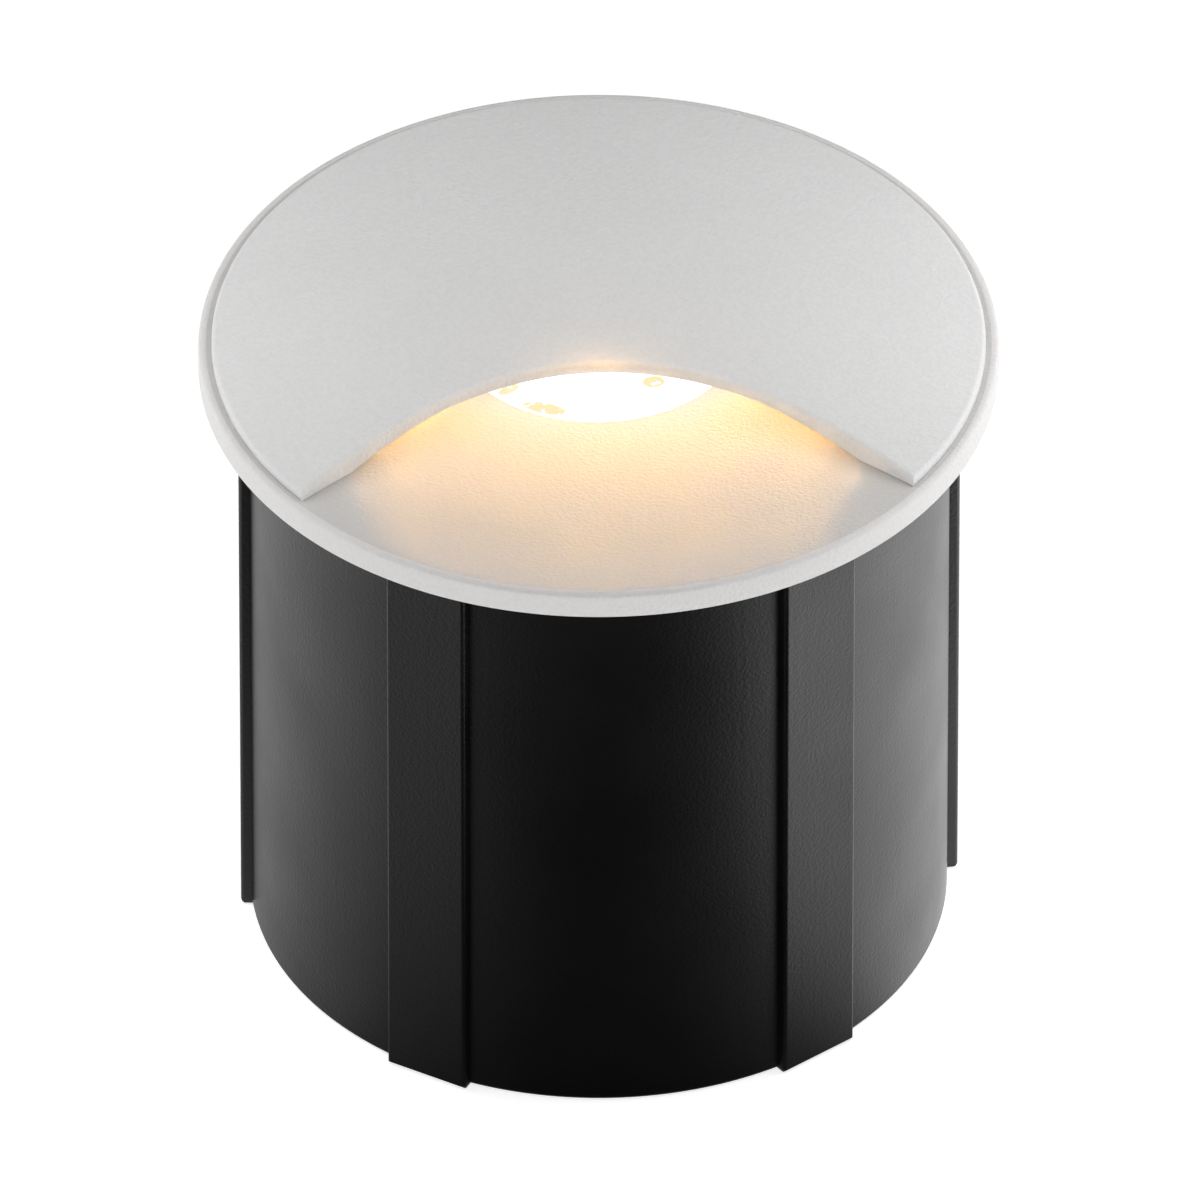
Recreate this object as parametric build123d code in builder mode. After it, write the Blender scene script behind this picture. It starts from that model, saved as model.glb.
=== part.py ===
# Recessed eyelid light. A round lamp insert pushes into a ribbed mounting sleeve and is held there by
# two lipped rubber rings. Sizes are in millimetres. The part stands on its back: +Z points out of the
# wall, the origin is the middle of the sleeve's floor, and the light leaves towards -Y.
from build123d import *
import math
import os

os.makedirs("parts", exist_ok=True)

# Clearances
slip = 0.10
run_gap = 0.30
ring_gap = 0.05
thread_gap = 0.05

# Mounting sleeve
sleeve_diameter = 79.0
sleeve_wall = 2.0
sleeve_length = 74.2
sleeve_floor = 2.5
sleeve_turn = 2.4
rib_spread = 33.4
rib_side_set = 5.0
rib_width = 10.0
rib_height = 1.0
mouth_chamfer = 0.6
cable_diameter = 6.6
grommet_play = 0.3
grommet_neck_wall = 5.4
grommet_lip = 1.5
grommet_flange = 1.0

# Front plate and its dished floor
flange_overlap = 5.5
flange_thickness = 3.2
flange_edge = 0.5
rim_land = 0.3
dish_depth = 4.6
web_thickness = 2.0
spigot_wall = 3.0
spigot_depth = 7.5
gasket_width = 2.0
gasket_depth = 1.0
gasket_inset = 1.7

# Eyelid cover
cover_inset = 1.5
cover_rise = 0.8
cover_edge = 0.35
lip_thickness = 1.3
tip_angle = 51.8
tip_rounding = 0.6
arch_apex = 4.8
hood_flat = 20.5
hood_seat_width = 8.2
cover_post_radius = 3.0
cover_post_y = 12.0
cover_roof = 0.9
peg_radius = 1.5
peg_depth = 1.2

# Lens, its gasket and its holder
lens_y = 8.4
lens_room = 2.2
lens_sink = 0.1
lens_crown = 0.6
lens_ledge = 1.7
lens_flange_thickness = 2.2
lens_gasket_thickness = 1.0
optic_margin = 3.5
optic_end_radius = 7.0
optic_depth = 10.6
optic_recess_radius = 5.5
optic_recess_depth = 4.0
holder_thickness = 3.0
holder_overlap = 2.8
holder_boss_radius = 2.8
holder_side_y = -1.0
holder_front_x = 10.0
holder_screw_reach = 4.2

# Light source
optic_gap = 0.5
phosphor_radius = 4.6
phosphor_thickness = 0.4
substrate_width = 13.5
substrate_thickness = 1.0
led_board_inset = 5.5
led_board_thickness = 1.6
pad_thickness = 0.5
pad_inset = 1.0
led_screw_count = 4
led_screw_start = 45.0
led_screw_inset = 4.0

# Lamp housing and what closes it
ring_space = 2.5
housing_wall = 2.5
housing_gasket_thickness = 0.8
shelf_thickness = 4.0
ring_groove_width = 4.0
ring_groove_depth = 1.0
ring_inset = 9.0
rear_ring_inset = 4.5
fin_count = 6
fin_groove_width = 2.0
fin_groove_depth = 1.0
boss_radius = 3.0
boss_length = 10.0
boss_bite = 0.5
rear_screw_count = 3
rear_screw_start = 30.0
rear_cover_thickness = 3.0
rear_cover_edge = 0.8
rear_gasket_thickness = 0.8

# Screws: shank radius, head radius and head height of the three sorts in the lamp
small_screw = 1.0
small_head = 1.9
small_head_height = 1.3
lamp_screw = 1.25
lamp_head = 2.2
lamp_head_height = 1.7
slot_width = 0.6
slot_depth = 0.6
front_screw_count = 3
front_screw_start = 90.0
front_screw_length = 4.6
front_head_depth = 1.2
front_head_sink = 0.2

# Driver
standoff_height = 6.0
standoff_radius = 2.6
standoff_inset = 3.5
driver_screw_count = 3
driver_screw_start = 90.0
driver_board_thickness = 1.6
driver_board_clear = 1.5
driver_board_hole = 6.5
core_width = 16.0
core_depth = 6.0
core_height = 13.0
core_yoke = 2.5
core_leg = 5.0
winding_reach = 2.5
transformer_y = 13.0
input_can_radius = 5.0
input_can_height = 16.0
input_can_at = (-13.5, 0.0)
output_can_radius = 4.0
output_can_height = 14.0
output_can_at = (13.0, 1.5)
can_bevel = 0.6
film_width = 11.0
film_depth = 5.5
film_height = 10.5
film_at = (-15.2, 10.0)
film_edge = 0.8
choke_at = (15.2, 10.0)
choke_radius = 4.4
choke_waist = 2.2
choke_height = 9.0
choke_flange = 1.4
choke_winding = 1.6
rectifier_at = (-7.0, -13.5)
rectifier_width = 8.0
rectifier_depth = 6.0
rectifier_height = 2.6
chip_at = (11.6, -5.6)
chip_width = 5.0
chip_depth = 3.6
chip_height = 1.6
chip_edge = 0.4
terminal_x = 6.0
terminal_lead_room = 2.8
terminal_width = 11.0
terminal_depth = 7.6
terminal_height = 9.0
terminal_pole_count = 2
terminal_pole_pitch = 5.0
terminal_port_radius = 1.7
terminal_step = 3.0
terminal_screw_recess = 1.2

# Wires from the driver to the light source
lead_radius = 0.8
lead_half_spacing = 3.5
lead_inset = 3.5
lead_bend = 3.0
lead_stand = 2.0
bushing_wall = 1.4
bushing_lip = 0.8
bushing_flange = 1.0
lead_hole_margin = 0.8

# Cable gland
gland_room = 1.9
gland_thread_radius = 5.9
gland_wall = 1.1
gland_width = 15.0
gland_hex_height = 4.0
gland_inner_thread = 6.5
gland_outer_thread = 5.5
gland_bore_play = 0.3
locknut_width = 17.0
locknut_height = 3.0
gland_nut_width = 15.0
gland_nut_overlap = 4.0
gland_nut_roof = 1.5
gland_nut_stand = 1.5
gland_seal_length = 4.8
hex_chamfer = 0.5

# Radii that follow
sleeve_r = sleeve_diameter / 2
sleeve_bore = sleeve_r - sleeve_wall
flange_r = sleeve_r + flange_overlap
cable_r = cable_diameter / 2
grommet_bore = cable_r + grommet_play
grommet_neck = grommet_bore + grommet_neck_wall
grommet_r = grommet_neck + grommet_lip
dish_r = flange_r - flange_edge - rim_land
dish_sphere = (dish_r**2 + dish_depth**2) / (2 * dish_depth)
cover_r = flange_r - cover_inset
hood_seat = cover_r - hood_seat_width
gasket_outer = flange_r - gasket_inset
gasket_inner = gasket_outer - gasket_width
housing_r = sleeve_bore - ring_space
housing_bore = housing_r - housing_wall
spigot_r = housing_bore - slip
spigot_bore = spigot_r - spigot_wall
lens_flange_r = spigot_bore - lens_room - lens_y
window_radius = lens_flange_r - lens_ledge
optic_top_radius = window_radius - optic_margin
boss_circle = housing_bore + boss_bite - boss_radius
driver_board_r = boss_circle - boss_radius - driver_board_clear
led_board_r = housing_bore - led_board_inset
led_screw_circle = led_board_r - led_screw_inset
standoff_circle = driver_board_r - standoff_inset
lead_y = -(driver_board_r - lead_inset)

# Levels that follow: from the sleeve's floor up to the housing, then from the flange back to the shelf
grommet_top = sleeve_floor + slip + grommet_flange
gland_nut_base = grommet_top + gland_room
gland_end = gland_nut_base + gland_nut_roof + gland_nut_stand
gland_nut_top = gland_end + gland_nut_overlap
gland_hex_base = gland_end + gland_outer_thread
rear_cover_base = gland_hex_base + gland_hex_height
rear_cover_top = rear_cover_base + rear_cover_thickness
housing_bottom = rear_cover_top + rear_gasket_thickness
driver_board_base = rear_cover_top + standoff_height
driver_board_top = driver_board_base + driver_board_thickness
flange_base = sleeve_length + run_gap
rim_top = flange_base + flange_thickness
cover_top = rim_top + cover_rise
hood_roof = cover_top - lip_thickness
dish_bottom = rim_top - dish_depth
web_base = dish_bottom - web_thickness
lens_flange_top = web_base - lens_gasket_thickness
lens_flange_base = lens_flange_top - lens_flange_thickness
holder_base = lens_flange_base - holder_thickness
lens_end = lens_flange_base - optic_depth
phosphor_base = lens_end - optic_gap - phosphor_thickness
substrate_base = phosphor_base - substrate_thickness
led_board_base = substrate_base - led_board_thickness
shelf_top = led_board_base - pad_thickness
shelf_base = shelf_top - shelf_thickness
spigot_end = flange_base - spigot_depth
housing_top = flange_base - housing_gasket_thickness
front_screw_z = (housing_top + spigot_end) / 2
front_ring_z = housing_top - ring_inset - ring_groove_width
rear_ring_z = housing_bottom + rear_ring_inset


def dish_z(r):
    """Height of the dished floor at radius r."""
    return dish_bottom + dish_sphere - math.sqrt(dish_sphere**2 - r**2)


def beside_lens(y):
    """Distance from the middle plane to the middle of the room between lens and spigot, at y."""
    lens_side = math.sqrt(lens_flange_r**2 - (y - lens_y) ** 2)
    spigot_side = math.sqrt(spigot_bore**2 - y**2)
    return (lens_side + spigot_side) / 2


def before_lens(x):
    """Y of the middle of the room between the lens's front and the spigot, at x."""
    lens_side = lens_y - math.sqrt(lens_flange_r**2 - x**2)
    spigot_side = -math.sqrt(spigot_bore**2 - x**2)
    return (lens_side + spigot_side) / 2


def on_circle(radius, count, start):
    """Points evenly spaced on a circle about the axis."""
    steps = [math.radians(start + 360 * i / count) for i in range(count)]
    return [(radius * math.cos(a), radius * math.sin(a)) for a in steps]


def radial_planes(radius, z):
    """Planes that face outwards, one at each screw through the housing's wall."""
    points = on_circle(1, front_screw_count, front_screw_start)
    return [Plane(origin=(x * radius, y * radius, z), z_dir=(x, y, 0)) for x, y in points]


cover_post_x = beside_lens(cover_post_y)
cover_post_points = [(-cover_post_x, cover_post_y), (cover_post_x, cover_post_y)]
holder_side_x = beside_lens(holder_side_y)
holder_front_y = before_lens(holder_front_x)
holder_points = [
    (-holder_side_x, holder_side_y),
    (holder_side_x, holder_side_y),
    (-holder_front_x, holder_front_y),
    (holder_front_x, holder_front_y),
]
peg_y = (hood_seat + cover_r) / 2
rear_screw_points = on_circle(boss_circle, rear_screw_count, rear_screw_start)
led_screw_points = on_circle(led_screw_circle, led_screw_count, led_screw_start)
standoff_points = on_circle(standoff_circle, driver_screw_count, driver_screw_start)
lead_points = [(-lead_half_spacing, lead_y), (lead_half_spacing, lead_y)]
lens_axis = Axis((0, lens_y, 0), (0, 0, 1))
lens_section = Plane.XZ.offset(-lens_y)


def pan_screws(points, seat, reach, shank, head, head_height, side):
    """Slotted pan-head screws: heads on the plane z = seat, shanks reaching away from side (+1 or -1)."""
    with BuildPart() as screws:
        with BuildSketch(Plane.XY.offset(seat)):
            with Locations(points):
                Circle(head)
        extrude(amount=side * head_height)
        levels = screws.faces().filter_by(Plane.XY).group_by(Axis.Z)
        crowns = levels[-1] if side > 0 else levels[0]
        chamfer(crowns.edges(), head_height / 4)
        with BuildSketch(Plane.XY.offset(seat + side * head_height)):
            with Locations(points):
                Rectangle(2 * head, slot_width)
        extrude(amount=-side * slot_depth, mode=Mode.SUBTRACT)
        with BuildSketch(Plane.XY.offset(seat)):
            with Locations(points):
                Circle(shank)
        extrude(amount=-side * reach)
    return screws.part


# Mounting sleeve: moulded cup with flat ribs along its whole length, turned a little from the face
rib_depth = rib_height + sleeve_wall / 2
rib_middle = sleeve_r + rib_height - rib_depth / 2
side_ribs = [rib_side_set, 180 - rib_side_set]
end_ribs = [90 - rib_spread, 90 + rib_spread, 270 - rib_spread, 270 + rib_spread]
with BuildPart() as mounting_sleeve:
    with BuildSketch():
        Circle(sleeve_r)
        for rib_angle in side_ribs + end_ribs:
            with PolarLocations(rib_middle, 1, start_angle=rib_angle + sleeve_turn):
                Rectangle(rib_depth, rib_width)
    extrude(amount=sleeve_length)
    with BuildSketch(Plane.XY.offset(sleeve_floor)):
        Circle(sleeve_bore)
    extrude(amount=sleeve_length - sleeve_floor, mode=Mode.SUBTRACT)
    with BuildSketch():
        Circle(grommet_neck + slip)
    extrude(amount=sleeve_floor, mode=Mode.SUBTRACT)
    with BuildSketch():
        Circle(grommet_r + slip)
    extrude(amount=grommet_flange + 2 * slip, mode=Mode.SUBTRACT)
    mouth = mounting_sleeve.edges().filter_by(GeomType.CIRCLE).group_by(Axis.Z)[-1]
    chamfer(mouth.filter_by(lambda edge: edge.radius < sleeve_bore + slip), mouth_chamfer)
mounting_sleeve.part.label = "mounting_sleeve"
export_step(mounting_sleeve.part, "parts/mounting_sleeve.step")

# Cable grommet: rubber bush that clips into the sleeve's floor and stays clear of what it stands on
grommet_low = grommet_flange + slip
grommet_high = sleeve_floor + slip
with BuildPart() as cable_grommet:
    with BuildSketch(Plane.XZ):
        with BuildLine():
            Polyline(
                (grommet_bore, slip),
                (grommet_r, slip),
                (grommet_r, grommet_low),
                (grommet_neck, grommet_low),
                (grommet_neck, grommet_high),
                (grommet_r, grommet_high),
                (grommet_neck, grommet_top),
                (grommet_bore, grommet_top),
                close=True,
            )
        make_face()
    revolve(axis=Axis.Z)
cable_grommet.part.label = "cable_grommet"
export_step(cable_grommet.part, "parts/cable_grommet.step")

# Grip rings: base in the housing's groove, two lips that rub on the sleeve's bore
ring_base = housing_r - ring_groove_depth + ring_gap
ring_lip = sleeve_bore - ring_gap
ring_half = ring_groove_width / 2 - slip
ring_shoulder = housing_r + ring_space / 4
for ring_name, ring_level in (("grip_ring_front", front_ring_z), ("grip_ring_rear", rear_ring_z)):
    ring_middle = ring_level + ring_groove_width / 2
    with BuildPart() as grip_ring:
        with BuildSketch(Plane.XZ):
            with BuildLine():
                Polyline(
                    (ring_base, ring_middle - ring_half),
                    (ring_shoulder, ring_middle - ring_half),
                    (ring_lip, ring_middle - ring_half * 2 / 3),
                    (ring_lip, ring_middle - ring_half / 3),
                    (ring_shoulder, ring_middle),
                    (ring_lip, ring_middle + ring_half / 3),
                    (ring_lip, ring_middle + ring_half * 2 / 3),
                    (ring_shoulder, ring_middle + ring_half),
                    (ring_base, ring_middle + ring_half),
                    close=True,
                )
            make_face()
        revolve(axis=Axis.Z)
    grip_ring.part.label = ring_name
    export_step(grip_ring.part, f"parts/{ring_name}.step")

# Front plate: casting with rounded flange, dished floor, lens window, and a spigot behind
edge_middle = flange_edge * math.sin(math.radians(45))
with BuildPart() as front_plate:
    with BuildSketch(Plane.XZ):
        with BuildLine():
            ThreePointArc((0, dish_bottom), (dish_r / 2, dish_z(dish_r / 2)), (dish_r, rim_top))
            Line((dish_r, rim_top), (flange_r - flange_edge, rim_top))
            ThreePointArc(
                (flange_r - flange_edge, rim_top),
                (flange_r - flange_edge + edge_middle, rim_top - flange_edge + edge_middle),
                (flange_r, rim_top - flange_edge),
            )
            Polyline(
                (flange_r, rim_top - flange_edge),
                (flange_r, flange_base),
                (gasket_outer, flange_base),
                (gasket_outer, flange_base + gasket_depth),
                (gasket_inner, flange_base + gasket_depth),
                (gasket_inner, flange_base),
                (spigot_r, flange_base),
                (spigot_r, spigot_end),
                (spigot_bore, spigot_end),
                (spigot_bore, web_base),
                (0, web_base),
                (0, dish_bottom),
            )
        make_face()
    revolve(axis=Axis.Z)
    with BuildSketch(Plane.XY.offset(lens_flange_base)):
        with Locations(holder_points):
            Circle(holder_boss_radius)
    extrude(amount=web_base - lens_flange_base)
    with BuildSketch(Plane.XY.offset(lens_flange_base)):
        with Locations(holder_points):
            Circle(lamp_screw + thread_gap)
    extrude(amount=holder_screw_reach + thread_gap, mode=Mode.SUBTRACT)
    with BuildSketch(Plane.XY.offset(web_base)):
        with Locations((0, lens_y)):
            Circle(window_radius)
        with Locations(cover_post_points):
            Circle(lamp_screw + thread_gap)
    extrude(amount=rim_top - web_base, mode=Mode.SUBTRACT)
    with BuildSketch(Plane.XY.offset(dish_z(peg_y) - peg_depth - slip)):
        with Locations((0, peg_y)):
            Circle(peg_radius + slip)
    extrude(amount=dish_depth, mode=Mode.SUBTRACT)
    with Locations(radial_planes(spigot_r, front_screw_z)):
        Hole(lamp_screw + thread_gap, depth=spigot_wall + slip)
front_plate.part.label = "front_plate"
export_step(front_plate.part, "parts/front_plate.step")

# Flange gasket: flat ring in the groove behind the flange
with BuildPart() as flange_gasket:
    with BuildSketch(Plane.XY.offset(flange_base)):
        Circle(gasket_outer - slip)
        Circle(gasket_inner + slip, mode=Mode.SUBTRACT)
    extrude(amount=gasket_depth)
flange_gasket.part.label = "flange_gasket"
export_step(flange_gasket.part, "parts/flange_gasket.step")

# Eyelid cover: crescent casting, hollow below over the lens, seated on the dish at its outer edge
tip_x = cover_r * math.sin(math.radians(tip_angle))
tip_y = -cover_r * math.cos(math.radians(tip_angle))
arch_control_y = -2 * arch_apex - tip_y
front_cut = 2 * cover_r
with BuildPart() as eyelid_cover:
    with BuildSketch(Plane.XY.offset(dish_bottom)) as crescent:
        Circle(cover_r)
        with BuildLine():
            Bezier((-tip_x, tip_y), (0, arch_control_y), (tip_x, tip_y))
            Polyline(
                (tip_x, tip_y),
                (front_cut, tip_y),
                (front_cut, -front_cut),
                (-front_cut, -front_cut),
                (-front_cut, tip_y),
                (-tip_x, tip_y),
            )
        make_face(mode=Mode.SUBTRACT)
        fillet(crescent.vertices().group_by(Axis.Y)[0], tip_rounding)
    extrude(amount=cover_top - dish_bottom)
    fillet(eyelid_cover.faces().sort_by(Axis.Z)[-1].edges(), cover_edge)
    with BuildSketch(Plane.XZ):
        with BuildLine():
            Polyline(
                (0, dish_bottom),
                (0, hood_roof),
                (hood_flat, hood_roof),
                (hood_seat, dish_z(hood_seat)),
                (hood_seat, dish_bottom),
                close=True,
            )
        make_face()
    revolve(axis=Axis.Z, mode=Mode.SUBTRACT)
    with BuildSketch(Plane.XY.offset(dish_bottom)):
        with Locations(cover_post_points):
            Circle(cover_post_radius)
    extrude(amount=hood_roof + lip_thickness / 2 - dish_bottom)
    with BuildSketch(Plane.XZ):
        with BuildLine():
            ThreePointArc(
                (0, dish_bottom + slip),
                (dish_r / 2, dish_z(dish_r / 2) + slip),
                (dish_r, rim_top + slip),
            )
            Polyline(
                (dish_r, rim_top + slip),
                (flange_r, rim_top + slip),
                (flange_r, dish_bottom - slip),
                (0, dish_bottom - slip),
                (0, dish_bottom + slip),
            )
        make_face()
    revolve(axis=Axis.Z, mode=Mode.SUBTRACT)
    with BuildSketch(Plane.XY.offset(dish_z(peg_y) - peg_depth)):
        with Locations((0, peg_y)):
            Circle(peg_radius)
    extrude(amount=peg_depth + cover_rise)
    with BuildSketch(Plane.XY.offset(dish_bottom)):
        with Locations(cover_post_points):
            Circle(lamp_screw + thread_gap)
    extrude(amount=cover_top - cover_roof - dish_bottom, mode=Mode.SUBTRACT)
eyelid_cover.part.label = "eyelid_cover"
export_step(eyelid_cover.part, "parts/eyelid_cover.step")

# Cover screws: come up through the front plate into the cover's two posts
cover_screw_reach = cover_top - cover_roof - thread_gap - web_base
cover_screws = pan_screws(
    cover_post_points, web_base, cover_screw_reach, lamp_screw, lamp_head, lamp_head_height, -1
)
cover_screws.label = "cover_screws"
export_step(cover_screws, "parts/cover_screws.step")

# Lens: crowned disc that fills the window, clamped flange, and a light-gathering cone behind
lens_boss = window_radius - slip
lens_face = dish_bottom - lens_sink
with BuildPart() as optic_lens:
    with BuildSketch(lens_section):
        with BuildLine():
            Line((0, lens_end + optic_recess_depth), (0, lens_face + lens_crown))
            crown_sphere = (lens_boss**2 + lens_crown**2) / (2 * lens_crown)
            crown_drop = crown_sphere - math.sqrt(crown_sphere**2 - (lens_boss / 2) ** 2)
            ThreePointArc(
                (0, lens_face + lens_crown),
                (lens_boss / 2, lens_face + lens_crown - crown_drop),
                (lens_boss, lens_face),
            )
            Polyline(
                (lens_boss, lens_face),
                (lens_boss, lens_flange_top),
                (lens_flange_r, lens_flange_top),
                (lens_flange_r, lens_flange_base),
                (optic_top_radius, lens_flange_base),
                (optic_end_radius, lens_end),
                (optic_recess_radius, lens_end),
                (optic_recess_radius, lens_end + optic_recess_depth / 2),
                (0, lens_end + optic_recess_depth),
            )
        make_face()
    revolve(axis=lens_axis)
optic_lens.part.label = "optic_lens"
export_step(optic_lens.part, "parts/optic_lens.step")

# Lens gasket: silicone ring between the lens's flange and the front plate
with BuildPart() as lens_gasket:
    with BuildSketch(Plane.XY.offset(lens_flange_top)):
        with Locations((0, lens_y)):
            Circle(lens_flange_r)
            Circle(window_radius + slip, mode=Mode.SUBTRACT)
    extrude(amount=lens_gasket_thickness)
lens_gasket.part.label = "lens_gasket"
export_step(lens_gasket.part, "parts/lens_gasket.step")

# Lens holder: moulded disc that presses the lens on its gasket
with BuildPart() as lens_holder:
    with BuildSketch(Plane.XY.offset(holder_base)):
        Circle(spigot_bore - slip)
        with Locations((0, lens_y)):
            Circle(lens_flange_r - holder_overlap, mode=Mode.SUBTRACT)
        with Locations(holder_points):
            Circle(lamp_screw + slip, mode=Mode.SUBTRACT)
    extrude(amount=holder_thickness)
lens_holder.part.label = "lens_holder"
export_step(lens_holder.part, "parts/lens_holder.step")

# Lens holder screws: into the front plate's four bosses
lens_holder_screws = pan_screws(
    holder_points,
    holder_base,
    holder_thickness + holder_screw_reach,
    lamp_screw,
    lamp_head,
    lamp_head_height,
    -1,
)
lens_holder_screws.label = "lens_holder_screws"
export_step(lens_holder_screws, "parts/lens_holder_screws.step")

# Light source: phosphor disc on a ceramic tile
with BuildPart() as led_phosphor:
    with BuildSketch(Plane.XY.offset(phosphor_base)):
        with Locations((0, lens_y)):
            Circle(phosphor_radius)
    extrude(amount=phosphor_thickness)
led_phosphor.part.label = "led_phosphor"
export_step(led_phosphor.part, "parts/led_phosphor.step")

with BuildPart() as led_substrate:
    with BuildSketch(Plane.XY.offset(substrate_base)):
        with Locations((0, lens_y)):
            Rectangle(substrate_width, substrate_width)
    extrude(amount=substrate_thickness)
led_substrate.part.label = "led_substrate"
export_step(led_substrate.part, "parts/led_substrate.step")

# LED board and the heat-conducting pad under it, with holes for screws and wires
for layer_name, layer_base, layer_thickness, layer_r in (
    ("led_board", led_board_base, led_board_thickness, led_board_r),
    ("thermal_pad", shelf_top, pad_thickness, led_board_r - pad_inset),
):
    with BuildPart() as layer:
        with BuildSketch(Plane.XY.offset(layer_base)):
            Circle(layer_r)
            with Locations(led_screw_points):
                Circle(small_screw + slip, mode=Mode.SUBTRACT)
            with Locations(lead_points):
                Circle(lead_radius + lead_hole_margin, mode=Mode.SUBTRACT)
        extrude(amount=layer_thickness)
    layer.part.label = layer_name
    export_step(layer.part, f"parts/{layer_name}.step")

# LED board screws: into blind holes in the housing's shelf
led_screw_reach = led_board_thickness + pad_thickness + shelf_thickness / 2
led_board_screws = pan_screws(
    led_screw_points, substrate_base, led_screw_reach, small_screw, small_head, small_head_height, 1
)
led_board_screws.label = "led_board_screws"
export_step(led_board_screws, "parts/led_board_screws.step")

# Lamp housing: turned can with a shelf for the light source, grooves outside, bosses for the rear cover
groove_floor = housing_r - ring_groove_depth
fin_low = rear_ring_z + ring_groove_width
fin_pitch = (front_ring_z - fin_low) / (fin_count + 1)
bushing_r = lead_radius + thread_gap + bushing_wall
with BuildPart() as lamp_housing:
    with BuildSketch(Plane.XZ):
        with BuildLine():
            Polyline(
                (housing_bore, housing_bottom),
                (housing_r, housing_bottom),
                (housing_r, housing_top),
                (housing_bore, housing_top),
                (housing_bore, shelf_top),
                (0, shelf_top),
                (0, shelf_base),
                (housing_bore, shelf_base),
                close=True,
            )
        make_face()
    revolve(axis=Axis.Z)
    for level in (front_ring_z, rear_ring_z):
        with BuildSketch(Plane.XY.offset(level)):
            Circle(housing_r)
            Circle(groove_floor, mode=Mode.SUBTRACT)
        extrude(amount=ring_groove_width, mode=Mode.SUBTRACT)
    for step in range(fin_count):
        fin_middle = fin_low + fin_pitch * (step + 1)
        with BuildSketch(Plane.XY.offset(fin_middle - fin_groove_width / 2)):
            Circle(housing_r)
            Circle(housing_r - fin_groove_depth, mode=Mode.SUBTRACT)
        extrude(amount=fin_groove_width, mode=Mode.SUBTRACT)
    with BuildSketch(Plane.XY.offset(housing_bottom)):
        with Locations(rear_screw_points):
            Circle(boss_radius)
        Circle(housing_r - housing_wall / 2, mode=Mode.INTERSECT)
    extrude(amount=boss_length)
    with BuildSketch(Plane.XY.offset(housing_bottom)):
        with Locations(rear_screw_points):
            Circle(lamp_screw + thread_gap)
    extrude(amount=boss_length, mode=Mode.SUBTRACT)
    with BuildSketch(Plane.XY.offset(shelf_top)):
        with Locations(led_screw_points):
            Circle(small_screw + thread_gap)
    extrude(amount=-(shelf_thickness / 2 + slip), mode=Mode.SUBTRACT)
    with BuildSketch(Plane.XY.offset(shelf_base)):
        with Locations(lead_points):
            Circle(bushing_r + thread_gap)
    extrude(amount=shelf_thickness, mode=Mode.SUBTRACT)
    with Locations(radial_planes(housing_r, front_screw_z)):
        Hole(lamp_screw + thread_gap, depth=housing_wall + slip)
    with Locations(radial_planes(housing_r - front_head_sink, front_screw_z)):
        Cone(
            lamp_screw + thread_gap,
            lamp_head + thread_gap,
            front_head_depth,
            align=(Align.CENTER, Align.CENTER, Align.MAX),
            mode=Mode.SUBTRACT,
        )
        Cylinder(
            lamp_head + thread_gap,
            front_head_depth,
            align=(Align.CENTER, Align.CENTER, Align.MIN),
            mode=Mode.SUBTRACT,
        )
lamp_housing.part.label = "lamp_housing"
export_step(lamp_housing.part, "parts/lamp_housing.step")

# Front plate screws: countersunk, through the housing's wall into the spigot
with BuildPart() as front_plate_screws:
    with Locations(radial_planes(housing_r - front_head_sink, front_screw_z)):
        Cone(
            lamp_screw,
            lamp_head,
            front_head_depth - thread_gap,
            align=(Align.CENTER, Align.CENTER, Align.MAX),
        )
        Cylinder(lamp_screw, front_screw_length, align=(Align.CENTER, Align.CENTER, Align.MAX))
        Box(
            2 * lamp_head,
            slot_width,
            slot_depth,
            align=(Align.CENTER, Align.CENTER, Align.MAX),
            mode=Mode.SUBTRACT,
        )
front_plate_screws.part.label = "front_plate_screws"
export_step(front_plate_screws.part, "parts/front_plate_screws.step")

# Flat seals at the housing's two ends
for seal_name, seal_base, seal_thickness in (
    ("housing_gasket", housing_top, housing_gasket_thickness),
    ("rear_gasket", rear_cover_top, rear_gasket_thickness),
):
    with BuildPart() as seal:
        with BuildSketch(Plane.XY.offset(seal_base)):
            Circle(housing_r)
            Circle(housing_bore, mode=Mode.SUBTRACT)
        extrude(amount=seal_thickness)
    seal.part.label = seal_name
    export_step(seal.part, f"parts/{seal_name}.step")

# Rear cover: plate with the gland's hole and three standoffs for the driver board
with BuildPart() as rear_cover:
    with BuildSketch(Plane.XY.offset(rear_cover_base)):
        Circle(housing_r)
    extrude(amount=rear_cover_thickness)
    chamfer(rear_cover.faces().sort_by(Axis.Z)[0].edges(), rear_cover_edge)
    with BuildSketch(Plane.XY.offset(rear_cover_top)):
        with Locations(standoff_points):
            Circle(standoff_radius)
    extrude(amount=standoff_height)
    with BuildSketch(Plane.XY.offset(driver_board_base)):
        with Locations(standoff_points):
            Circle(small_screw + thread_gap)
    extrude(amount=-standoff_height, mode=Mode.SUBTRACT)
    with BuildSketch(Plane.XY.offset(rear_cover_base)):
        Circle(gland_thread_radius + slip)
        with Locations(rear_screw_points):
            Circle(lamp_screw + slip)
    extrude(amount=rear_cover_thickness, mode=Mode.SUBTRACT)
rear_cover.part.label = "rear_cover"
export_step(rear_cover.part, "parts/rear_cover.step")

# Rear cover screws: up into the housing's bosses
rear_screw_reach = rear_cover_thickness + rear_gasket_thickness + boss_length - boss_radius
rear_cover_screws = pan_screws(
    rear_screw_points, rear_cover_base, rear_screw_reach, lamp_screw, lamp_head, lamp_head_height, -1
)
rear_cover_screws.label = "rear_cover_screws"
export_step(rear_cover_screws, "parts/rear_cover_screws.step")

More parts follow.
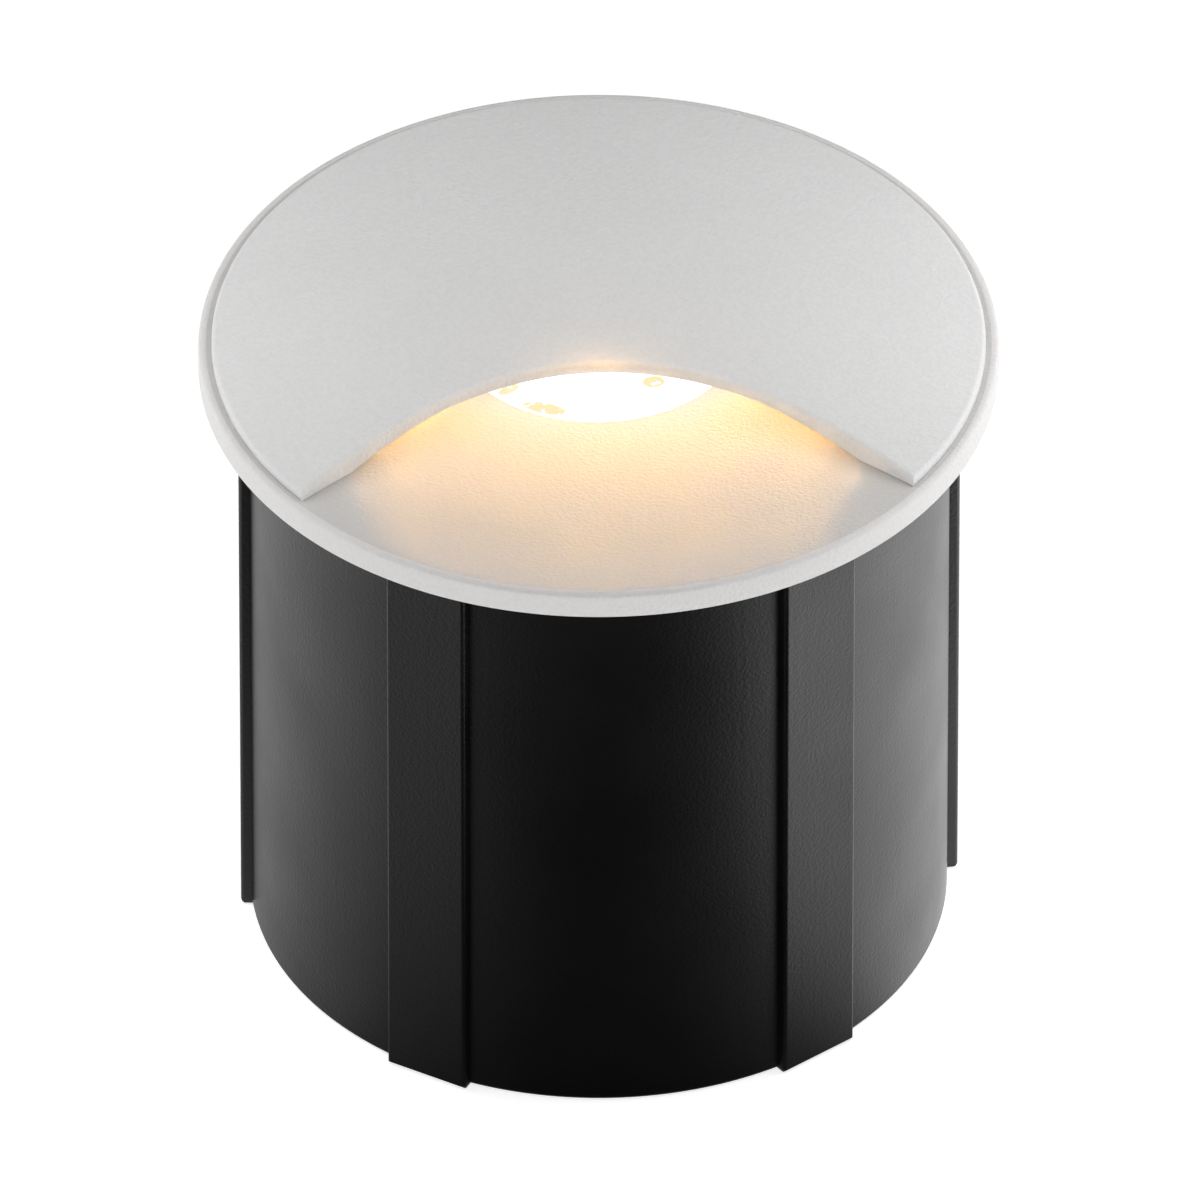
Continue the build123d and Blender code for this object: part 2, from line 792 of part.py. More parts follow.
# Driver board on the rear cover's standoffs, open in the middle for the cable's cores
with BuildPart() as driver_board:
    with BuildSketch(Plane.XY.offset(driver_board_base)):
        Circle(driver_board_r)
        Circle(driver_board_hole, mode=Mode.SUBTRACT)
        with Locations(standoff_points):
            Circle(small_screw + slip, mode=Mode.SUBTRACT)
    extrude(amount=driver_board_thickness)
driver_board.part.label = "driver_board"
export_step(driver_board.part, "parts/driver_board.step")

driver_screw_reach = driver_board_thickness + standoff_height - standoff_radius
driver_board_screws = pan_screws(
    standoff_points, driver_board_top, driver_screw_reach, small_screw, small_head, small_head_height, 1
)
driver_board_screws.label = "driver_board_screws"
export_step(driver_board_screws, "parts/driver_board_screws.step")

# Transformer: ferrite core with two windows, winding round its middle leg
window_width = (core_width - core_leg) / 2 - core_yoke
window_middle = (core_leg + window_width) / 2
window_height = core_height - 2 * core_yoke
core_plane = Plane.XZ.offset(-(transformer_y + core_depth / 2))
with BuildPart() as transformer_core:
    with BuildSketch(core_plane):
        with Locations((0, driver_board_top + core_height / 2)):
            Rectangle(core_width, core_height)
        for middle in (-window_middle, window_middle):
            with Locations((middle, driver_board_top + core_height / 2)):
                Rectangle(window_width, window_height, mode=Mode.SUBTRACT)
    extrude(amount=core_depth)
transformer_core.part.label = "transformer_core"
export_step(transformer_core.part, "parts/transformer_core.step")

with BuildPart() as transformer_winding:
    with BuildSketch(Plane.XY.offset(driver_board_top + core_yoke + slip)):
        with Locations((0, transformer_y)):
            RectangleRounded(
                core_leg + 2 * (window_width - slip), core_depth + 2 * winding_reach, winding_reach / 2
            )
            Rectangle(core_leg + 2 * slip, core_depth + 2 * slip, mode=Mode.SUBTRACT)
    extrude(amount=window_height - 2 * slip)
transformer_winding.part.label = "transformer_winding"
export_step(transformer_winding.part, "parts/transformer_winding.step")

# Capacitors: two upright cans and one boxed film type
for can_name, can_place, can_radius, can_height in (
    ("input_capacitor", input_can_at, input_can_radius, input_can_height),
    ("output_capacitor", output_can_at, output_can_radius, output_can_height),
):
    with BuildPart() as can:
        with BuildSketch(Plane.XY.offset(driver_board_top)):
            with Locations(can_place):
                Circle(can_radius)
        extrude(amount=can_height)
        fillet(can.faces().sort_by(Axis.Z)[-1].edges(), can_bevel)
    can.part.label = can_name
    export_step(can.part, f"parts/{can_name}.step")

with BuildPart() as film_capacitor:
    with BuildSketch(Plane.XY.offset(driver_board_top)):
        with Locations(film_at):
            Rectangle(film_width, film_depth)
    extrude(amount=film_height)
    fillet(film_capacitor.faces().sort_by(Axis.Z)[-1].edges(), film_edge)
film_capacitor.part.label = "film_capacitor"
export_step(film_capacitor.part, "parts/film_capacitor.step")

# Choke: ferrite bobbin and its winding
choke_axis = Axis((*choke_at, 0), (0, 0, 1))
choke_section = Plane(origin=(*choke_at, 0), x_dir=(1, 0, 0), z_dir=(0, -1, 0))
choke_low = driver_board_top + choke_flange
choke_high = driver_board_top + choke_height - choke_flange
with BuildPart() as choke_core:
    with BuildSketch(choke_section):
        with BuildLine():
            Polyline(
                (0, driver_board_top),
                (choke_radius, driver_board_top),
                (choke_radius, choke_low),
                (choke_waist, choke_low),
                (choke_waist, choke_high),
                (choke_radius, choke_high),
                (choke_radius, driver_board_top + choke_height),
                (0, driver_board_top + choke_height),
                close=True,
            )
        make_face()
    revolve(axis=choke_axis)
choke_core.part.label = "choke_core"
export_step(choke_core.part, "parts/choke_core.step")

with BuildPart() as choke_winding_ring:
    with BuildSketch(Plane.XY.offset(choke_low + slip)):
        with Locations(choke_at):
            Circle(choke_waist + choke_winding)
            Circle(choke_waist + slip, mode=Mode.SUBTRACT)
    extrude(amount=choke_high - choke_low - 2 * slip)
choke_winding_ring.part.label = "choke_winding"
export_step(choke_winding_ring.part, "parts/choke_winding.step")

# Rectifier and controller chip
for chip_name, chip_place, chip_x, chip_y, chip_z in (
    ("rectifier", rectifier_at, rectifier_width, rectifier_depth, rectifier_height),
    ("controller_chip", chip_at, chip_width, chip_depth, chip_height),
):
    with BuildPart() as package:
        with BuildSketch(Plane.XY.offset(driver_board_top)):
            with Locations(chip_place):
                Rectangle(chip_x, chip_y)
        extrude(amount=chip_z)
        chamfer(package.faces().sort_by(Axis.Z)[-1].edges(), chip_edge)
    package.part.label = chip_name
    export_step(package.part, f"parts/{chip_name}.step")

# Terminal block: stepped body, wire ports in front and screw wells above
terminal_front = lead_y + terminal_lead_room
terminal_y = terminal_front + terminal_depth / 2
pole_shifts = [(i - (terminal_pole_count - 1) / 2) * terminal_pole_pitch for i in range(terminal_pole_count)]
with BuildPart() as terminal_block:
    with BuildSketch(Plane.XY.offset(driver_board_top)):
        with Locations((terminal_x, terminal_y)):
            Rectangle(terminal_width, terminal_depth)
    extrude(amount=terminal_height)
    with BuildSketch(Plane.XY.offset(driver_board_top + terminal_height)):
        with Locations((terminal_x, terminal_front + terminal_step / 2)):
            Rectangle(terminal_width, terminal_step)
    extrude(amount=-terminal_step, mode=Mode.SUBTRACT)
    with BuildSketch(Plane.XY.offset(driver_board_top + terminal_height)):
        with Locations([(terminal_x + s, terminal_y + terminal_step / 2) for s in pole_shifts]):
            Circle(terminal_port_radius)
    extrude(amount=-terminal_screw_recess, mode=Mode.SUBTRACT)
    with BuildSketch(Plane.XZ.offset(-terminal_front)):
        with Locations([(terminal_x + s, driver_board_top + terminal_step) for s in pole_shifts]):
            Circle(terminal_port_radius)
    extrude(amount=-terminal_depth / 2, mode=Mode.SUBTRACT)
terminal_block.part.label = "terminal_block"
export_step(terminal_block.part, "parts/terminal_block.step")

# Wires: up from the driver board, through the shelf, over and down onto the LED board
lead_turn_z = substrate_base + lead_stand
lead_pad_y = lead_y + 2 * lead_bend
for lead_name, lead_x in (("led_lead_negative", -lead_half_spacing), ("led_lead_positive", lead_half_spacing)):
    with BuildPart() as lead:
        with BuildLine() as route:
            Line((lead_x, lead_y, driver_board_top), (lead_x, lead_y, lead_turn_z))
            ThreePointArc(
                (lead_x, lead_y, lead_turn_z),
                (lead_x, lead_y + lead_bend, lead_turn_z + lead_bend),
                (lead_x, lead_pad_y, lead_turn_z),
            )
            Line((lead_x, lead_pad_y, lead_turn_z), (lead_x, lead_pad_y, substrate_base))
        with BuildSketch(Plane(origin=(lead_x, lead_y, driver_board_top), z_dir=(0, 0, 1))):
            Circle(lead_radius)
        sweep(path=route.line)
    lead.part.label = lead_name
    export_step(lead.part, f"parts/{lead_name}.step")

# Lead bushings: line the wires' holes in the shelf, with a lip below
with BuildPart() as lead_bushings:
    with BuildSketch(Plane.XY.offset(shelf_base)):
        with Locations(lead_points):
            Circle(bushing_r)
    extrude(amount=shelf_thickness)
    with BuildSketch(Plane.XY.offset(shelf_base)):
        with Locations(lead_points):
            Circle(bushing_r + bushing_lip)
    extrude(amount=-bushing_flange)
    with BuildSketch(Plane.XY.offset(shelf_base - bushing_flange)):
        with Locations(lead_points):
            Circle(lead_radius + thread_gap)
    extrude(amount=bushing_flange + shelf_thickness, mode=Mode.SUBTRACT)
lead_bushings.part.label = "lead_bushings"
export_step(lead_bushings.part, "parts/lead_bushings.step")

# Cable gland: body through the rear cover, locknut inside, seal and cap outside
gland_bore = cable_r + gland_bore_play
gland_seat = gland_thread_radius - gland_wall
with BuildPart() as gland_body:
    with BuildSketch(Plane.XY.offset(gland_hex_base)):
        RegularPolygon(gland_width / 2, 6, major_radius=False)
    extrude(amount=gland_hex_height)
    chamfer(gland_body.faces().sort_by(Axis.Z)[0].edges(), hex_chamfer)
    with BuildSketch(Plane.XY.offset(gland_end)):
        Circle(gland_thread_radius)
    extrude(amount=rear_cover_base + gland_inner_thread - gland_end)
    with BuildSketch(Plane.XY.offset(gland_end)):
        Circle(gland_bore)
    extrude(amount=rear_cover_base + gland_inner_thread - gland_end, mode=Mode.SUBTRACT)
    with BuildSketch(Plane.XY.offset(gland_end)):
        Circle(gland_seat)
    extrude(amount=gland_seal_length + slip, mode=Mode.SUBTRACT)
gland_body.part.label = "gland_body"
export_step(gland_body.part, "parts/gland_body.step")

with BuildPart() as gland_locknut:
    with BuildSketch(Plane.XY.offset(rear_cover_top)):
        RegularPolygon(locknut_width / 2, 6, major_radius=False)
        Circle(gland_thread_radius + thread_gap, mode=Mode.SUBTRACT)
    extrude(amount=locknut_height)
gland_locknut.part.label = "gland_locknut"
export_step(gland_locknut.part, "parts/gland_locknut.step")

with BuildPart() as gland_seal:
    with BuildSketch(Plane.XY.offset(gland_end)):
        Circle(gland_seat - thread_gap)
        Circle(cable_r, mode=Mode.SUBTRACT)
    extrude(amount=gland_seal_length)
gland_seal.part.label = "gland_seal"
export_step(gland_seal.part, "parts/gland_seal.step")

with BuildPart() as gland_nut:
    with BuildSketch(Plane.XY.offset(gland_nut_base)):
        RegularPolygon(gland_nut_width / 2, 6, major_radius=False)
    extrude(amount=gland_nut_top - gland_nut_base)
    chamfer(gland_nut.faces().sort_by(Axis.Z)[0].edges(), hex_chamfer)
    with BuildSketch(Plane.XY.offset(gland_nut_base)):
        Circle(gland_bore)
    extrude(amount=gland_nut_roof, mode=Mode.SUBTRACT)
    with BuildSketch(Plane.XY.offset(gland_nut_base + gland_nut_roof)):
        Circle(gland_thread_radius + thread_gap)
    extrude(amount=gland_nut_top - gland_nut_base, mode=Mode.SUBTRACT)
gland_nut.part.label = "gland_nut"
export_step(gland_nut.part, "parts/gland_nut.step")
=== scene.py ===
import bpy
import math
from mathutils import Matrix, Vector


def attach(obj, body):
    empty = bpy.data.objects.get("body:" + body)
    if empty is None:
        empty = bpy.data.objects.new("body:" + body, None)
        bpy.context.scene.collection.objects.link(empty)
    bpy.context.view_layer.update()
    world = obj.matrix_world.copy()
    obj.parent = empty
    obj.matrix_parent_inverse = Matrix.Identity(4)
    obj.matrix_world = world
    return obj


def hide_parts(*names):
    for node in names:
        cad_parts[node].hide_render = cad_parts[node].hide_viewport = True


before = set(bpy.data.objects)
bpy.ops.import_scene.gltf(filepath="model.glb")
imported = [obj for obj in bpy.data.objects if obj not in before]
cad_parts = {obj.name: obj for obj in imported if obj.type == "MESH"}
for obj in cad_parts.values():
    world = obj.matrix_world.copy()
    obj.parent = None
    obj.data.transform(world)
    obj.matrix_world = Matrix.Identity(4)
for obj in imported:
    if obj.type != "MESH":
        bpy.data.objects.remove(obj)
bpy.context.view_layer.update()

# Mounting sleeve: the black cup that is built into the wall. It is injection moulded in satin plastic,
# with six flat ribs drawn along its whole length and a stepped hole in its floor for the grommet.
mm = 0.001


def solid_span(name):
    """The low and the high corner of a solid's box in mm, the first and the seventh of its eight."""
    corners = [Vector(corner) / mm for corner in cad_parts[name].bound_box]
    return corners[0], corners[6]


sleeve_low, sleeve_high = solid_span("mounting_sleeve")
sleeve_base = sleeve_low.z
sleeve_top = sleeve_high.z
sleeve_r = 39.5
sleeve_wall = 2.0
sleeve_bore = sleeve_r - sleeve_wall
sleeve_floor = sleeve_base + 2.5
foot_round = 0.3
mouth_round = 0.2
mouth_chamfer = 0.6
floor_chamfer = 0.4
grommet_hole_r = 9.1
grommet_seat_r = 10.6
grommet_seat = sleeve_base + 1.2
seat_chamfer = 0.1
sleeve_turn = 2.4
rib_spread = 33.4
rib_side_set = 5.0
rib_width = 10.0
rib_rise = 1.0
rib_round = 0.42
rib_end_gap = 0.02


def put_down():
    """Leaves edit mode and deselects everything."""
    if bpy.context.mode != "OBJECT":
        bpy.ops.object.mode_set(mode="OBJECT")
    bpy.ops.object.select_all(action="DESELECT")


def take(piece):
    """Makes one piece the only one in hand."""
    put_down()
    piece.select_set(True)
    bpy.context.view_layer.objects.active = piece


def name_piece(name):
    """Names the piece that was just added."""
    piece = bpy.context.object
    piece.name = name
    piece.data.name = name
    return piece


def close_up(piece):
    """Merges what lies together, drops loose edges and turns the faces outwards."""
    take(piece)
    bpy.ops.object.mode_set(mode="EDIT")
    bpy.ops.mesh.select_mode(type="VERT")
    bpy.ops.mesh.select_all(action="SELECT")
    bpy.ops.mesh.remove_doubles(threshold=0.002 * mm)
    bpy.ops.mesh.delete_loose()
    bpy.ops.mesh.select_all(action="SELECT")
    bpy.ops.mesh.normals_make_consistent(inside=False)
    bpy.ops.object.mode_set(mode="OBJECT")


def rounded_corner(corner_r, corner_z, radius, first, last, steps):
    """Points round a corner of a section in mm, from one bearing to another in degrees."""
    middle = math.radians((first + last) / 2)
    centre_r = corner_r - math.copysign(radius, math.cos(middle))
    centre_z = corner_z - math.copysign(radius, math.sin(middle))
    points = []
    for i in range(steps + 1):
        bearing = math.radians(first + (last - first) * i / steps)
        points.append((centre_r + radius * math.cos(bearing), centre_z + radius * math.sin(bearing)))
    return points


def turn_on_lathe(name, section, steps, at_y=0.0):
    """Draws half a section, radius and height in mm, and spins it about an upright axis at x 0."""
    put_down()
    bpy.ops.mesh.primitive_plane_add(size=mm, location=(0, 0, 0))
    piece = name_piece(name)
    bpy.ops.object.mode_set(mode="EDIT")
    bpy.ops.mesh.select_mode(type="VERT")
    bpy.ops.mesh.select_all(action="SELECT")
    bpy.ops.mesh.merge(type="CENTER")
    bpy.ops.transform.translate(value=(section[0][0] * mm, at_y * mm, section[0][1] * mm))
    for here, there in zip(section, section[1:]):
        step = ((there[0] - here[0]) * mm, 0, (there[1] - here[1]) * mm)
        bpy.ops.mesh.extrude_vertices_move(TRANSFORM_OT_translate={"value": step})
    bpy.ops.mesh.select_all(action="SELECT")
    bpy.ops.mesh.spin(steps=steps, angle=2 * math.pi, center=(0, at_y * mm, 0), axis=(0, 0, 1))
    close_up(piece)
    return piece


def pick_edges(piece, wanted):
    """Goes into edit mode with those edges selected whose two ends pass the test, in mm."""
    take(piece)
    bpy.ops.object.mode_set(mode="EDIT")
    bpy.ops.mesh.select_mode(type="EDGE")
    bpy.ops.mesh.select_all(action="DESELECT")
    bpy.ops.object.mode_set(mode="OBJECT")
    for edge in piece.data.edges:
        edge.select = all(wanted(piece.data.vertices[i].co / mm) for i in edge.vertices)
    bpy.ops.object.mode_set(mode="EDIT")


def work_in(piece, tool, how):
    """Adds a second body to a piece or cuts it away, and removes the second body."""
    take(piece)
    change = piece.modifiers.new("work_in", "BOOLEAN")
    change.operation = how
    change.solver = "EXACT"
    change.object = tool
    bpy.ops.object.modifier_apply(modifier=change.name)
    old = tool.data
    bpy.data.objects.remove(tool)
    bpy.data.meshes.remove(old)


def smooth_off(piece, degrees):
    """Smooths the rounds, keeps the corners, and lets the large faces stay flat."""
    take(piece)
    bpy.ops.object.shade_smooth_by_angle(angle=math.radians(degrees))
    flat = piece.modifiers.new("flat_faces", "WEIGHTED_NORMAL")
    flat.keep_sharp = True
    bpy.ops.object.modifier_apply(modifier=flat.name)


sleeve = turn_on_lathe(
    "sleeve_cup",
    [
        (grommet_hole_r, grommet_seat),
        (grommet_seat_r, grommet_seat),
        (grommet_seat_r, sleeve_base + seat_chamfer),
        (grommet_seat_r + seat_chamfer, sleeve_base),
    ]
    + rounded_corner(sleeve_r, sleeve_base, foot_round, first=-90, last=0, steps=3)
    + rounded_corner(sleeve_r, sleeve_top, mouth_round, first=0, last=90, steps=2)
    + [
        (sleeve_bore + mouth_chamfer, sleeve_top),
        (sleeve_bore, sleeve_top - mouth_chamfer),
        (sleeve_bore, sleeve_floor + floor_chamfer),
        (sleeve_bore - floor_chamfer, sleeve_floor),
        (grommet_hole_r, sleeve_floor),
        (grommet_hole_r, grommet_seat),
    ],
    steps=240,
)
put_down()
bpy.ops.mesh.primitive_cube_add(
    size=mm,
    location=(sleeve_r * mm, 0, (sleeve_base + sleeve_top) / 2 * mm),
    scale=(2 * rib_rise, rib_width, sleeve_top - sleeve_base - 2 * rib_end_gap),
)
rib = name_piece("sleeve_rib")
bpy.ops.object.transform_apply(location=True, rotation=True, scale=True)
pick_edges(rib, lambda end: end.x > sleeve_r + rib_rise / 2)
bpy.ops.mesh.bevel(offset=rib_round * mm, segments=5, affect="EDGES")
put_down()
for rib_place in (
    rib_side_set, 90 - rib_spread, 90 + rib_spread,
    180 - rib_side_set, 270 - rib_spread, 270 + rib_spread,
):
    twin = rib.copy()
    twin.data = rib.data.copy()
    twin.data.transform(Matrix.Rotation(math.radians(sleeve_turn + rib_place), 4, "Z"))
    bpy.context.collection.objects.link(twin)
    work_in(sleeve, twin, "UNION")
bpy.data.objects.remove(rib)
close_up(sleeve)
smooth_off(sleeve, degrees=30)

# The grain that every finish here shares: fine pimples for the bump, and wide patches that shift the
# colour and the gloss a little. A mix node has its share and its colours in sockets of these numbers.
mix_share = 0
mix_first = 6
mix_second = 7
mix_colour = 2
surface_grain = bpy.data.node_groups.new("surface_grain", "ShaderNodeTree")
surface_grain.interface.new_socket("Place", in_out="INPUT", socket_type="NodeSocketVector")
surface_grain.interface.new_socket("Grain per metre", in_out="INPUT", socket_type="NodeSocketFloat")
surface_grain.interface.new_socket("Patch per metre", in_out="INPUT", socket_type="NodeSocketFloat")
surface_grain.interface.new_socket("Height", in_out="OUTPUT", socket_type="NodeSocketFloat")
surface_grain.interface.new_socket("Patch", in_out="OUTPUT", socket_type="NodeSocketFloat")
grain_in = surface_grain.nodes.new("NodeGroupInput")
grain_out = surface_grain.nodes.new("NodeGroupOutput")
grain_noise = surface_grain.nodes.new("ShaderNodeTexNoise")
grain_noise.inputs["Detail"].default_value = 2.0
patch_noise = surface_grain.nodes.new("ShaderNodeTexNoise")
patch_noise.inputs["Detail"].default_value = 4.0
patch_spread = surface_grain.nodes.new("ShaderNodeMapRange")
patch_spread.inputs["From Min"].default_value = 0.3
patch_spread.inputs["From Max"].default_value = 0.7
surface_grain.links.new(grain_in.outputs["Place"], grain_noise.inputs["Vector"])
surface_grain.links.new(grain_in.outputs["Grain per metre"], grain_noise.inputs["Scale"])
surface_grain.links.new(grain_in.outputs["Place"], patch_noise.inputs["Vector"])
surface_grain.links.new(grain_in.outputs["Patch per metre"], patch_noise.inputs["Scale"])
surface_grain.links.new(patch_noise.outputs["Fac"], patch_spread.inputs["Value"])
surface_grain.links.new(grain_noise.outputs["Fac"], grain_out.inputs["Height"])
surface_grain.links.new(patch_spread.outputs["Result"], grain_out.inputs["Patch"])


def grained_finish(name, deep, pale, glossy, matt, grain, patch, depth, metallic=0.0, specular=0.5):
    """A finish whose colour and gloss wander in patches, with a fine grain of the given depth in mm."""
    finish = bpy.data.materials.new(name)
    finish.use_nodes = True
    nodes = finish.node_tree.nodes
    links = finish.node_tree.links
    shader = nodes["Principled BSDF"]
    shader.inputs["Metallic"].default_value = metallic
    shader.inputs["Specular IOR Level"].default_value = specular
    place = nodes.new("ShaderNodeTexCoord")
    grains = nodes.new("ShaderNodeGroup")
    grains.name = "grains"
    grains.node_tree = surface_grain
    grains.inputs["Grain per metre"].default_value = grain
    grains.inputs["Patch per metre"].default_value = patch
    tint = nodes.new("ShaderNodeMix")
    tint.name = "tint"
    tint.data_type = "RGBA"
    tint.inputs[mix_first].default_value = (*deep, 1)
    tint.inputs[mix_second].default_value = (*pale, 1)
    gloss = nodes.new("ShaderNodeMapRange")
    gloss.inputs["To Min"].default_value = glossy
    gloss.inputs["To Max"].default_value = matt
    bump = nodes.new("ShaderNodeBump")
    bump.name = "bump"
    bump.inputs["Distance"].default_value = depth * mm
    links.new(place.outputs["Object"], grains.inputs["Place"])
    links.new(grains.outputs["Patch"], tint.inputs[mix_share])
    links.new(grains.outputs["Patch"], gloss.inputs["Value"])
    links.new(grains.outputs["Height"], bump.inputs["Height"])
    links.new(tint.outputs[mix_colour], shader.inputs["Base Color"])
    links.new(gloss.outputs["Result"], shader.inputs["Roughness"])
    links.new(bump.outputs["Normal"], shader.inputs["Normal"])
    return finish


def add_lines(finish, stretch, per_metre, depth):
    """Adds fine lines to a finish's bump: noise drawn out along the axes with a small stretch."""
    nodes = finish.node_tree.nodes
    links = finish.node_tree.links
    place = nodes.new("ShaderNodeTexCoord")
    drawn = nodes.new("ShaderNodeMapping")
    drawn.inputs["Scale"].default_value = stretch
    lines = nodes.new("ShaderNodeTexNoise")
    lines.inputs["Scale"].default_value = per_metre
    lines.inputs["Detail"].default_value = 3.0
    under = nodes.new("ShaderNodeBump")
    under.inputs["Distance"].default_value = depth * mm
    links.new(place.outputs["Object"], drawn.inputs["Vector"])
    links.new(drawn.outputs["Vector"], lines.inputs["Vector"])
    links.new(lines.outputs["Fac"], under.inputs["Height"])
    links.new(under.outputs["Normal"], nodes["bump"].inputs["Normal"])


def coat_piece(piece, finish):
    """Leaves one finish, and no other, on a piece that is modelled here."""
    piece.data.materials.clear()
    piece.data.materials.append(finish)


sleeve_finish = grained_finish(
    "satin_black_moulding", deep=(0.0014, 0.0014, 0.0015), pale=(0.0024, 0.0024, 0.0025),
    glossy=0.33, matt=0.42, grain=2600, patch=60, depth=0.05, specular=0.42,
)
add_lines(sleeve_finish, stretch=(1, 1, 0.012), per_metre=1100, depth=0.012)
coat_piece(sleeve, sleeve_finish)
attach(sleeve, "sleeve")
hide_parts("mounting_sleeve")

# Rubber pieces: the grommet in the sleeve's floor, the two lipped grip rings in the housing's grooves,
# the gaskets, the lead bushings and the gland's seal. Moulded in soft black rubber and pressed in.


def dress(finish, *names):
    """Gives a finish to the solids named."""
    for name in names:
        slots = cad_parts[name].data.materials
        if len(slots) == 0:
            slots.append(finish)
        for i in range(len(slots)):
            slots[i] = finish


rubber = grained_finish(
    "soft_black_rubber", deep=(0.014, 0.014, 0.014), pale=(0.028, 0.028, 0.027),
    glossy=0.62, matt=0.8, grain=3200, patch=120, depth=0.02, specular=0.35,
)
dress(
    rubber, "cable_grommet", "grip_ring_front", "grip_ring_rear", "flange_gasket", "housing_gasket",
    "rear_gasket", "lead_bushings", "gland_seal",
)

# Lamp housing and rear cover: turned from aluminium, so fine tool lines run round them. The cover is
# screwed to bosses in the housing over a gasket.
level_lines = (0.02, 0.02, 1)
turned_metal = grained_finish(
    "turned_aluminium", deep=(0.47, 0.475, 0.485), pale=(0.62, 0.625, 0.635),
    glossy=0.26, matt=0.4, grain=1800, patch=90, depth=0.004, metallic=1.0,
)
add_lines(turned_metal, level_lines, per_metre=3600, depth=0.012)
dress(turned_metal, "lamp_housing", "rear_cover")

# Driver: a green board on three standoffs, with bought parts soldered to it: ferrite cores, a taped and
# a copper winding, sleeved capacitors, a film capacitor, two chips and a screw terminal.
board_mask = grained_finish(
    "green_board_mask", deep=(0.006, 0.075, 0.03), pale=(0.012, 0.12, 0.05),
    glossy=0.28, matt=0.42, grain=2400, patch=400, depth=0.006,
)
dress(board_mask, "driver_board")
ferrite = grained_finish(
    "ferrite_grey", deep=(0.028, 0.028, 0.03), pale=(0.055, 0.054, 0.055),
    glossy=0.55, matt=0.72, grain=4200, patch=500, depth=0.02,
)
dress(ferrite, "transformer_core", "choke_core")
winding_tape = grained_finish(
    "yellow_winding_tape", deep=(0.62, 0.42, 0.05), pale=(0.74, 0.53, 0.09),
    glossy=0.25, matt=0.4, grain=1500, patch=260, depth=0.01,
)
add_lines(winding_tape, level_lines, per_metre=1600, depth=0.03)
dress(winding_tape, "transformer_winding")
capacitor_sleeve = grained_finish(
    "black_capacitor_sleeve", deep=(0.016, 0.017, 0.022), pale=(0.03, 0.031, 0.038),
    glossy=0.22, matt=0.36, grain=1400, patch=240, depth=0.008,
)
dress(capacitor_sleeve, "input_capacitor", "output_capacitor")
film_case = grained_finish(
    "grey_film_capacitor_case", deep=(0.3, 0.31, 0.33), pale=(0.4, 0.41, 0.43),
    glossy=0.4, matt=0.55, grain=3000, patch=300, depth=0.012,
)
dress(film_case, "film_capacitor")
copper = grained_finish(
    "enamelled_copper", deep=(0.62, 0.25, 0.11), pale=(0.78, 0.36, 0.18),
    glossy=0.22, matt=0.34, grain=2600, patch=400, depth=0.004, metallic=1.0,
)
add_lines(copper, level_lines, per_metre=2400, depth=0.08)
dress(copper, "choke_winding")
chip_epoxy = grained_finish(
    "black_chip_epoxy", deep=(0.012, 0.012, 0.013), pale=(0.024, 0.024, 0.025),
    glossy=0.5, matt=0.66, grain=5200, patch=600, depth=0.014,
)
dress(chip_epoxy, "rectifier", "controller_chip")
terminal_plastic = grained_finish(
    "green_terminal_plastic", deep=(0.02, 0.16, 0.07), pale=(0.035, 0.22, 0.1),
    glossy=0.36, matt=0.5, grain=3000, patch=300, depth=0.012,
)
dress(terminal_plastic, "terminal_block")

# Leads: two short wires in silicone insulation, black and red, which run from the driver's terminal through
# the bushings in the housing's shelf to the light source's board.
black_lead = grained_finish(
    "black_lead_insulation", deep=(0.012, 0.012, 0.012), pale=(0.024, 0.024, 0.024),
    glossy=0.4, matt=0.55, grain=2600, patch=300, depth=0.006,
)
dress(black_lead, "led_lead_negative")
red_lead = grained_finish(
    "red_lead_insulation", deep=(0.42, 0.018, 0.014), pale=(0.56, 0.03, 0.022),
    glossy=0.4, matt=0.55, grain=2600, patch=300, depth=0.006,
)
dress(red_lead, "led_lead_positive")

# Light source: a yellow phosphor disc on a white ceramic base, soldered to a white board that lies on a
# grey thermal pad on the housing's shelf.
phosphor = grained_finish(
    "yellow_phosphor", deep=(0.78, 0.45, 0.05), pale=(0.9, 0.58, 0.1),
    glossy=0.45, matt=0.6, grain=6000, patch=800, depth=0.01,
)
phosphor_nodes = phosphor.node_tree.nodes
phosphor_shader = phosphor_nodes["Principled BSDF"]
phosphor_glow = phosphor_nodes["tint"].outputs[mix_colour]
phosphor.node_tree.links.new(phosphor_glow, phosphor_shader.inputs["Emission Color"])
phosphor_shader.inputs["Emission Strength"].default_value = 3.0
dress(phosphor, "led_phosphor")
ceramic = grained_finish(
    "white_ceramic", deep=(0.74, 0.74, 0.72), pale=(0.84, 0.84, 0.82),
    glossy=0.35, matt=0.5, grain=4200, patch=500, depth=0.008,
)
dress(ceramic, "led_substrate")
led_mask = grained_finish(
    "white_board_mask", deep=(0.7, 0.71, 0.7), pale=(0.82, 0.83, 0.82),
    glossy=0.3, matt=0.44, grain=2400, patch=300, depth=0.006,
)
dress(led_mask, "led_board")
thermal_pad = grained_finish(
    "grey_thermal_silicone", deep=(0.2, 0.22, 0.24), pale=(0.28, 0.3, 0.32),
    glossy=0.7, matt=0.85, grain=2200, patch=250, depth=0.02,
)
dress(thermal_pad, "thermal_pad")

